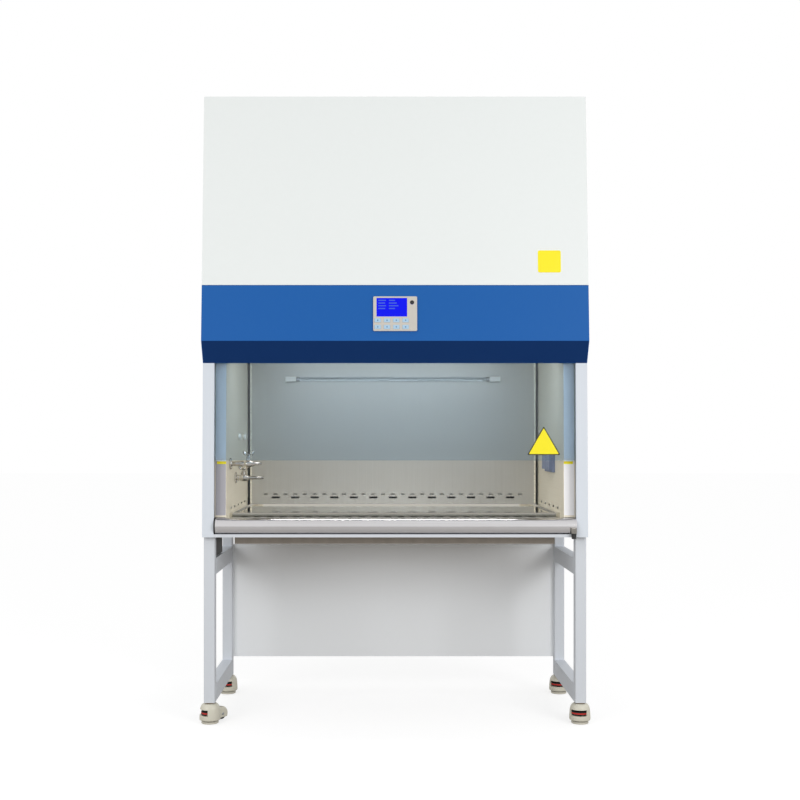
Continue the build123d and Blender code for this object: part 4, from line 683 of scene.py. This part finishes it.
low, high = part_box("exhaust_guard")
places = [((high.x - low.x - 2 * GUARD_GAP) * share, GUARD_SCREW_HEIGHT) for share in GUARD_SCREWS]
sides = [screws_on((low.x + GUARD_GAP, low.y, low.z), (1, 0, 0), places),
         screws_on((high.x - GUARD_GAP, high.y, low.z), (-1, 0, 0), places)]
put("guard_screws", *joined(sides), ZINC, "cabinet", "painted_white")

low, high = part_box("service_box")
span, tall = high.y - low.y, high.z - low.z
places = [(y, z) for z in (BOX_INSET_Z, tall - BOX_INSET_Z) for y in (BOX_INSET_Y, span - BOX_INSET_Y)]
screws = screws_on((low.x, high.y, low.z), (0, -1, 0), places, 0.0035, 0.0012)
put("service_box_screws", *screws, ZINC, "cabinet", "black_plastic")


def rail_seams(frame_node, rail, leg_ys):
    """Weld beads round the two ends of a rail: down its sides, and across its upper and lower faces."""
    low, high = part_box(frame_node)
    low_z, high_z = rail
    inset = 0.002
    seams = []
    for y in (leg_ys[0] + TUBE / 2, leg_ys[1] - TUBE / 2):
        for x in (low.x, high.x):
            seams.append(weld_bead((x, y, low_z + inset), (x, y, high_z - inset)))
        for z in (low_z, high_z):
            seams.append(weld_bead((low.x + inset, y, z), (high.x - inset, y, z)))
    return seams


for side in ("left", "right"):
    leg_ys = [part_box("leveling_foot_" + end + "_" + side)[0].y + 0.032 for end in ("front", "rear")]
    seams = rail_seams("stand_side_frame_" + side, LOW_RAIL, leg_ys)
    seams += rail_seams("stand_side_frame_" + side, HIGH_RAIL, leg_ys)
    put("stand_seams_" + side, *joined(seams), GREY, "cabinet", "painted_grey")


# ---------------------------------------------------------------- levelling casters
# Each is worked out with its swivel axis on the origin and its wheel towards +Y, then turned.
CASTER_TURN = {"front_left": math.radians(-40)}
WINDOW_TURN, WINDOW_REACH = math.radians(-20), math.radians(55)
WINDOW_LOW, WINDOW_HIGH = 0.030, 0.0513
WHEEL_OUT, WHEEL_UP, WHEEL_RADIUS, WHEEL_WIDTH = 0.052, 0.024, 0.0200, 0.016
SKIRT_GAP = 0.012                                    # floor to the lower edge of the housing
DIAL_LOW, DIAL_HIGH = 0.0330, 0.0430
HOUSING_OUTER = [(SKIRT_GAP, 0.0350), (0.0124, 0.0366), (0.0140, 0.0376), (0.0170, 0.0380), (0.0235, 0.0379),
                 (WINDOW_LOW, 0.0376), (0.0370, 0.0371), (0.0440, 0.0365), (WINDOW_HIGH, 0.0356),
                 (0.0560, 0.0346), (0.0605, 0.0331), (0.0645, 0.0309), (0.0680, 0.0280), (0.0700, 0.0250),
                 (0.0710, 0.0215)]
HOUSING_INNER = [(max(z, 0.0125), 0.0326) for z, r in HOUSING_OUTER[:9]]
AXLE_HEAD = [(0.0, 0.0045), (0.0012, 0.0045), (0.0019, 0.0034), (0.0021, 0.0012)]
FOOT_PAD = [(0.0, 0.0300), (0.0006, 0.0308), (0.0030, 0.0310), (0.0068, 0.0300), (0.0085, 0.0270),
            (0.0090, 0.0230), (0.0090, 0.0062)]
DIAL_BAND = [(0.0312, 0.0355), (0.03195, 0.0358), (0.0320, 0.0383), (0.03195, 0.0408), (0.0312, 0.0411)]


def caster_middle(corner):
    """Swivel axis of a caster, on the floor."""
    low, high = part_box("leveling_foot_" + corner)
    return np.array([(low.x + high.x) / 2, (low.y + high.y) / 2, 0.0])


def caster_place(points, corner):
    """Turns local points about the swivel axis and carries them to the caster's corner."""
    turn = CASTER_TURN.get(corner, 0.0)
    x = points[:, 0] * math.cos(turn) - points[:, 1] * math.sin(turn)
    y = points[:, 0] * math.sin(turn) + points[:, 1] * math.cos(turn)
    return np.stack([x, y, points[:, 2]], axis=-1) + caster_middle(corner)


def housing_shell():
    """Turned housing: a grid of height by angle, closed to an inner skin, with its window left open."""
    across = np.linspace(-WINDOW_REACH, WINDOW_REACH, 19)
    beyond = np.linspace(WINDOW_REACH, 2 * np.pi - WINDOW_REACH, 47)[1:-1]
    angle = np.concatenate([across, beyond]) - np.pi / 2 + WINDOW_TURN
    around, last_column = len(angle), len(across) - 1
    heights = [z for z, r in HOUSING_OUTER]
    low_row, high_row = heights.index(WINDOW_LOW), heights.index(WINDOW_HIGH)
    inner_start = len(HOUSING_OUTER) * around

    def skin(profile):
        z, r = np.array(profile).T
        level = np.repeat(z[:, None], around, axis=1)
        return np.stack([np.outer(r, np.cos(angle)), np.outer(r, np.sin(angle)), level], -1).reshape(-1, 3)

    def skin_faces(rows):
        quads = np.array(ring_faces(rows, around))
        row, column = np.divmod(np.arange(len(quads)), around)
        window = (row >= low_row) & (row < high_row) & (column < last_column)
        return quads[~window]

    def between_skins(a, b):
        return np.stack([a, b, inner_start + b, inner_start + a], axis=-1)

    column = np.arange(around)
    sill = low_row * around + np.arange(last_column)
    lintel = high_row * around + np.arange(last_column)
    jamb = np.arange(low_row, high_row) * around
    quads = np.concatenate([
        skin_faces(len(HOUSING_OUTER)),
        skin_faces(len(HOUSING_INNER))[:, ::-1] + inner_start,
        between_skins(column, (column + 1) % around)[:, ::-1],
        between_skins(sill, sill + 1),
        between_skins(lintel, lintel + 1)[:, ::-1],
        between_skins(jamb, jamb + around),
        between_skins(jamb + last_column, jamb + around + last_column)[:, ::-1]])
    crown = column + (len(HOUSING_OUTER) - 1) * around
    ceiling = column[::-1] + (len(HOUSING_INNER) - 1) * around + inner_start
    points = np.concatenate([skin(HOUSING_OUTER), skin(HOUSING_INNER)])
    return points, quads.tolist() + [crown.tolist(), ceiling.tolist()]


def fender_shell():
    """Mudguard: |x/a|^5 + (r/b)^5 = 1 turned about the axle, kept above the skirt and clear of the foot."""
    half, reach, foot_gap, around, rings = 0.0113, 0.0266, 0.0330, 64, 25
    t = np.linspace(-np.pi / 2, np.pi / 2, rings)
    x = half * np.sign(np.sin(t)) * np.abs(np.sin(t)) ** 0.4
    r = reach * np.clip(np.cos(t), 1e-3, 1) ** 0.4
    angle = np.linspace(0, 2 * np.pi, around, endpoint=False)
    rise = np.outer(r, np.sin(angle))
    y = np.maximum(WHEEL_OUT + np.outer(r, np.cos(angle)), foot_gap + 0.02 * rise)
    z = np.maximum(WHEEL_UP + rise, SKIRT_GAP)
    points = np.stack([np.repeat(x[:, None], around, 1), y, z], -1).reshape(-1, 3)
    return points, lofted(rings, around)


def fender_arm():
    """Rounded bar from the fender to the housing, level along y."""
    low, high, ends = SKIRT_GAP, 0.0485, (0.052, 0.033)
    outline = rounded_outline(0.0108, (high - low) / 2, 0.006)
    level = outline[:, 1] + (low + high) / 2
    rings = [np.column_stack([outline[:, 0], np.full(len(outline), y), level]) for y in ends]
    return np.concatenate(rings), lofted(len(rings), len(outline))


def wheel_tread():
    """Profile of the wheel: rounded tread, with a shallow recess round its bore on both sides."""
    side = [(0.0006, 0.0060), (0.0006, 0.0150), (0.0, 0.0152)]
    other_side = [(WHEEL_WIDTH, 0.0152), (0.0154, 0.0150), (0.0154, 0.0060)]
    return side + rounded_bar(0.0, WHEEL_WIDTH, WHEEL_RADIUS, 0.003) + other_side


def foot_screw():
    """Profile of the foot's screw, its radius up and down by turns as a thread, and the dial it carries."""
    thread = [(0.0090 + 0.0008 * k, 0.0060 - 0.0007 * (k % 2)) for k in range(65)]
    below = [pair for pair in thread if pair[0] < DIAL_LOW - 0.0005]
    above = [pair for pair in thread if pair[0] > DIAL_HIGH + 0.0006]
    dial = [(DIAL_LOW, 0.0055)] + rounded_bar(DIAL_LOW, DIAL_HIGH, 0.03185, 0.0012) + [(DIAL_HIGH, 0.0055)]
    return below + dial + above


def caster_parts(corner):
    """One caster: housing, collar, wheel, axle, foot on its screw, and the dial that winds it."""
    caster, wheel, foot = "caster_" + corner, "wheel_" + corner, "foot_" + corner
    swivel, axle = (0, 0, 0), (WHEEL_OUT, WHEEL_UP)

    def fit(name, shape, material, body, slot):
        points, faces = shape
        return put(name + "_" + corner, caster_place(points, corner), faces, material, body, slot)

    shells = joined([housing_shell(), fender_shell(), fender_arm()])
    housing = fit("caster_hood", shells, IVORY, caster, "ivory_plastic")
    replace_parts(housing, "caster_body_" + corner)
    collar = turned_along(rounded_bar(0.0708, 0.0747, 0.0190, 0.0008), swivel, UP, 64)
    fit("caster_collar", collar, COLLAR, caster, "ivory_plastic")
    tread = turned_along(wheel_tread(), (-WHEEL_WIDTH / 2, *axle), (1, 0, 0), 72)
    roller = fit("caster_roller", tread, NYLON, wheel, "nylon")
    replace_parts(roller, "caster_wheel_" + corner)
    heads = [turned_along(AXLE_HEAD, (side * 0.0112, *axle), (side, 0, 0), 32) for side in (-1, 1)]
    fit("caster_axle", joined(heads), ZINC, caster, "ivory_plastic")
    pad = fit("foot_pad", turned_along(FOOT_PAD, swivel, UP, 72), PAD, foot, "black_rubber")
    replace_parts(pad, "leveling_foot_" + corner)
    fit("foot_dial", turned_along(foot_screw(), swivel, UP, 72), RUBBER, foot, "black_rubber")
    points, faces = turned_band(DIAL_BAND, caster_middle(corner), around=144, wave=0.0001, waves=36)
    put("dial_band_" + corner, points, faces, RED, foot, "black_rubber")


for corner in CASTERS:
    caster_parts(corner)


# ---------------------------------------------------------------- armrest end
def armrest_cap_painted_shade():
    """Thin black end plate of the armrest, whose black also paints the shade of the gap at the column: its
    flat top, and the roll as an arc through top, nose and heel.
    """
    low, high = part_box("armrest")
    grow, thickness, steps = 0.0003, 0.0060, 28
    top, bottom, rear = high.z + grow, low.z - grow, high.y
    ax, ay = FRONT_Y + 0.014, top
    bx, by = low.y - grow, (top + bottom) / 2
    cx, cy = FRONT_Y + 0.007, bottom
    a2, b2, c2 = ax**2 + ay**2, bx**2 + by**2, cx**2 + cy**2
    d = 2 * (ax * (by - cy) + bx * (cy - ay) + cx * (ay - by))
    middle_y = (a2 * (by - cy) + b2 * (cy - ay) + c2 * (ay - by)) / d
    middle_z = (a2 * (cx - bx) + b2 * (ax - cx) + c2 * (bx - ax)) / d
    radius = math.hypot(ax - middle_y, ay - middle_z)
    first = math.atan2(ay - middle_z, ax - middle_y)
    last = math.atan2(cy - middle_z, cx - middle_y) + 2 * np.pi
    turn = np.linspace(first, last, steps)
    arc = np.column_stack([middle_y + radius * np.cos(turn), middle_z + radius * np.sin(turn)])
    outline = np.concatenate([arc, [(rear, bottom), (rear, top)]])
    count = len(outline)
    rings = [np.column_stack([np.full(count, x), outline]) for x in (low.x + thickness, low.x + 0.0001)]
    return np.concatenate(rings), lofted(2, count)


# At the left end only: an end cap whose black also paints the shade in the gap at the column.
put("armrest_end_cap_painted_shade", *armrest_cap_painted_shade(), BLACK, "cabinet", "stainless_polished")


# ---------------------------------------------------------------- work area faces, trims and drain pan
REAR_WALL_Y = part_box("inner_rear_wall")[0].y
MARK_TOP = MARK_Z + MARK_HALF_HEIGHT
FLANGE_MIDDLE, FLANGE_HALF_WIDTH = WALL_X + 0.0196, 0.0186
PORT_SETBACKS, PORT_Z, PORT_PROUD = (0.384, 0.554), TRAY_Z + 0.286, 0.0029
PORT_PLUG = [(0.0, 0.0120), (0.0078, 0.0120), (0.0086, 0.0112), (0.0088, 0.0030)]
PAN_FRONT, PAN_REAR, PAN_HALF_WIDTH = FRONT_Y + 0.100, REAR_WALL_Y - 0.072, 0.587
PAN_SHADE_PROFILE = [(-0.0004, 0.6406), (-0.0004, 0.6729), (0.0002, 0.6729), (0.0002, 0.6412)]

low, high = TRAY_Z + 0.006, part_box("inner_rear_wall")[1].z - 0.002
middle, half = (low + high) / 2, (high - low) / 2
strips = []
for side in (-1, 1):
    points, faces = raised_plate(0.0032, half, 0.0004, FILM)
    strips.append((onto(points, (side * (WALL_X - 0.0145), REAR_WALL_Y, middle), RIGHT, UP), faces))
    strips.append((onto(points, (side * WALL_X, REAR_WALL_Y - 0.004, middle), (0, -side, 0), UP), faces))
put("corner_trims", *joined(strips), TRIM, "cabinet", "stainless_brushed")

# The lower left flange film is painted shade; the upper left and the right films are painted light.
low, high = TRAY_Z + 0.001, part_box("control_fascia")[0].z + 0.020
flange_faces = (("left_low_painted_shade", -1, low, MARK_TOP, FLANGE_PAINTED_SHADE), ("left_high_painted_light", -1, MARK_TOP, high, FLANGE_PAINTED_LIGHT),
                ("right", 1, low, high, FLANGE_PAINTED_LIGHT))
for name, side, start, end, finish in flange_faces:
    points, faces = raised_plate(FLANGE_HALF_WIDTH, (end - start) / 2, 0.0006, FILM)
    middle = sash_place(side * FLANGE_MIDDLE, (start + end) / 2, FLANGE_SETBACK)
    put("flange_face_" + name, onto(points, middle, RIGHT, SASH_UP), faces, finish, "cabinet",
        "stainless_brushed")

plugs = [turned_along(PORT_PLUG, (-WALL_X + PORT_PROUD, FRONT_Y + setback, PORT_Z), (1, 0, 0), 48)
         for setback in PORT_SETBACKS]
put("port_plugs", *joined(plugs), PORT_WHITE, "cabinet", "stainless_brushed")

# Skin over the drain pan's front: bare steel tone, darkened as painted shade under the cabinet.
points, faces = raised_plate(PAN_HALF_WIDTH, (PAN_REAR - PAN_FRONT) / 2, 0.0025, PAN_SHADE_PROFILE)
points += np.array([0, (PAN_FRONT + PAN_REAR) / 2, 0])
put("drain_pan_painted_shade", points, faces, PAN_STEEL_PAINTED_SHADE, "cabinet", "painted_grey")


# ---------------------------------------------------------------- filter papers
FILTER_RECESS, FILTER_BORDER, PLEAT = 0.010, 0.030, 0.005
for kind, down in (("supply", True), ("exhaust", False)):
    low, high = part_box(kind + "_filter")
    rise = FILTER_RECESS - 0.006
    level = low.z + rise if down else high.z - rise
    x_span = (low.x + FILTER_BORDER, high.x - FILTER_BORDER)
    y_span = (low.y + FILTER_BORDER, high.y - FILTER_BORDER)
    points, faces = pleated_sheet(x_span, y_span, level, PLEAT, PLEAT, down)
    put(kind + "_pleats", points, faces, MEDIA, "cabinet", "filter_media")


# ---------------------------------------------------------------- room, lights and camera
FLOOR_GLOW = 1.19            # strength that brings the open floor up to the white of the surroundings
FLOOR_GLOW_SHARE = 0.6       # the rest of the floor's light still shows the cabinet's shadow
FLOOR_MIRRORED = 0.5         # how far the floor goes to pale in polished metal and glass
FLOOR_SHADE, FLOOR_PALE = (0.40, 0.37, 0.33, 1), (0.95, 0.95, 0.95, 1)
ROOM_LIGHT = 0.72            # strength of the surroundings as light; they are seen at 1
FLOOR_HALF = 30


def studio():
    """Floor seen as white with a soft shadow, a warm grey to everything else; white surroundings."""
    mesh = bpy.data.meshes.new("floor")
    corners = [(x * FLOOR_HALF, y * FLOOR_HALF, 0) for x, y in ((-1, -1), (1, -1), (1, 1), (-1, 1))]
    mesh.from_pydata(corners, [], [(0, 1, 2, 3)])
    floor = bpy.data.objects.new("floor", mesh)
    bpy.context.scene.collection.objects.link(floor)
    material = bpy.data.materials.new("pale_floor")
    material.use_nodes = True
    tree = material.node_tree
    rays = tree.nodes.new("ShaderNodeLightPath")
    seen = math_node(tree, "MAXIMUM", rays.outputs["Is Camera Ray"], rays.outputs["Is Transmission Ray"])
    mirrored = math_node(tree, "MULTIPLY", rays.outputs["Is Glossy Ray"], FLOOR_MIRRORED)
    pale = math_node(tree, "MAXIMUM", seen, mirrored)
    shader = tree.nodes["Principled BSDF"]
    tree.links.new(mix_colour(tree, pale, FLOOR_SHADE, FLOOR_PALE), shader.inputs["Base Color"])
    shader.inputs["Roughness"].default_value = 0.9
    shader.inputs["Specular IOR Level"].default_value = 0.0
    glow = tree.nodes.new("ShaderNodeEmission")
    glow.inputs["Strength"].default_value = FLOOR_GLOW
    mix = tree.nodes.new("ShaderNodeMixShader")
    tree.links.new(math_node(tree, "MULTIPLY", seen, FLOOR_GLOW_SHARE), mix.inputs[0])
    tree.links.new(shader.outputs[0], mix.inputs[1])
    tree.links.new(glow.outputs[0], mix.inputs[2])
    tree.links.new(mix.outputs[0], tree.nodes["Material Output"].inputs["Surface"])
    mesh.materials.append(material)

    world = bpy.data.worlds.new("studio")
    bpy.context.scene.world = world
    world.use_nodes = True
    tree = world.node_tree
    back = tree.nodes["Background"]
    back.inputs["Color"].default_value = (1, 1, 1, 1)
    rays = tree.nodes.new("ShaderNodeLightPath")
    seen = math_node(tree, "MAXIMUM", rays.outputs["Is Camera Ray"], rays.outputs["Is Transmission Ray"])
    seen = math_node(tree, "MAXIMUM", seen, rays.outputs["Is Glossy Ray"])
    added = math_node(tree, "MULTIPLY", seen, 1 - ROOM_LIGHT)
    tree.links.new(math_node(tree, "ADD", added, ROOM_LIGHT), back.inputs["Strength"])


def lamp(name, place, target, size, power, depth=None):
    """A soft lamp aimed at a point, square or as deep as given."""
    data = bpy.data.lights.new(name, "AREA")
    data.shape = "RECTANGLE"
    data.size = size
    data.size_y = depth or size
    data.energy = power
    holder = bpy.data.objects.new(name, data)
    holder.location = place
    holder.rotation_euler = (Vector(target) - Vector(place)).to_track_quat("-Z", "Y").to_euler()
    bpy.context.scene.collection.objects.link(holder)


def camera():
    """Level camera 4 m ahead of the cabinet, a little left of its middle."""
    data = bpy.data.cameras.new("camera")
    data.lens = 50.38
    data.sensor_width = 36.0
    data.shift_x = 0.025
    data.shift_y = 0.05
    holder = bpy.data.objects.new("camera", data)
    holder.location = (-0.054, -4.37507, 1.021)
    holder.rotation_euler = (math.pi / 2, 0, 0)
    bpy.context.scene.collection.objects.link(holder)
    bpy.context.scene.camera = holder


studio()
lamp("key", (2.9, -3.9, 1.95), (0, 0, 0.95), 1.8, 68)
lamp("fill", (-3.1, -3.8, 1.75), (0, 0, 0.9), 2.2, 53)
lamp("chamber_light", (0.0, -0.2, 1.365), (0, 0.1, 0.75), 1.0, 3, 0.06)
camera()
bpy.context.scene.view_settings.view_transform = "Standard"
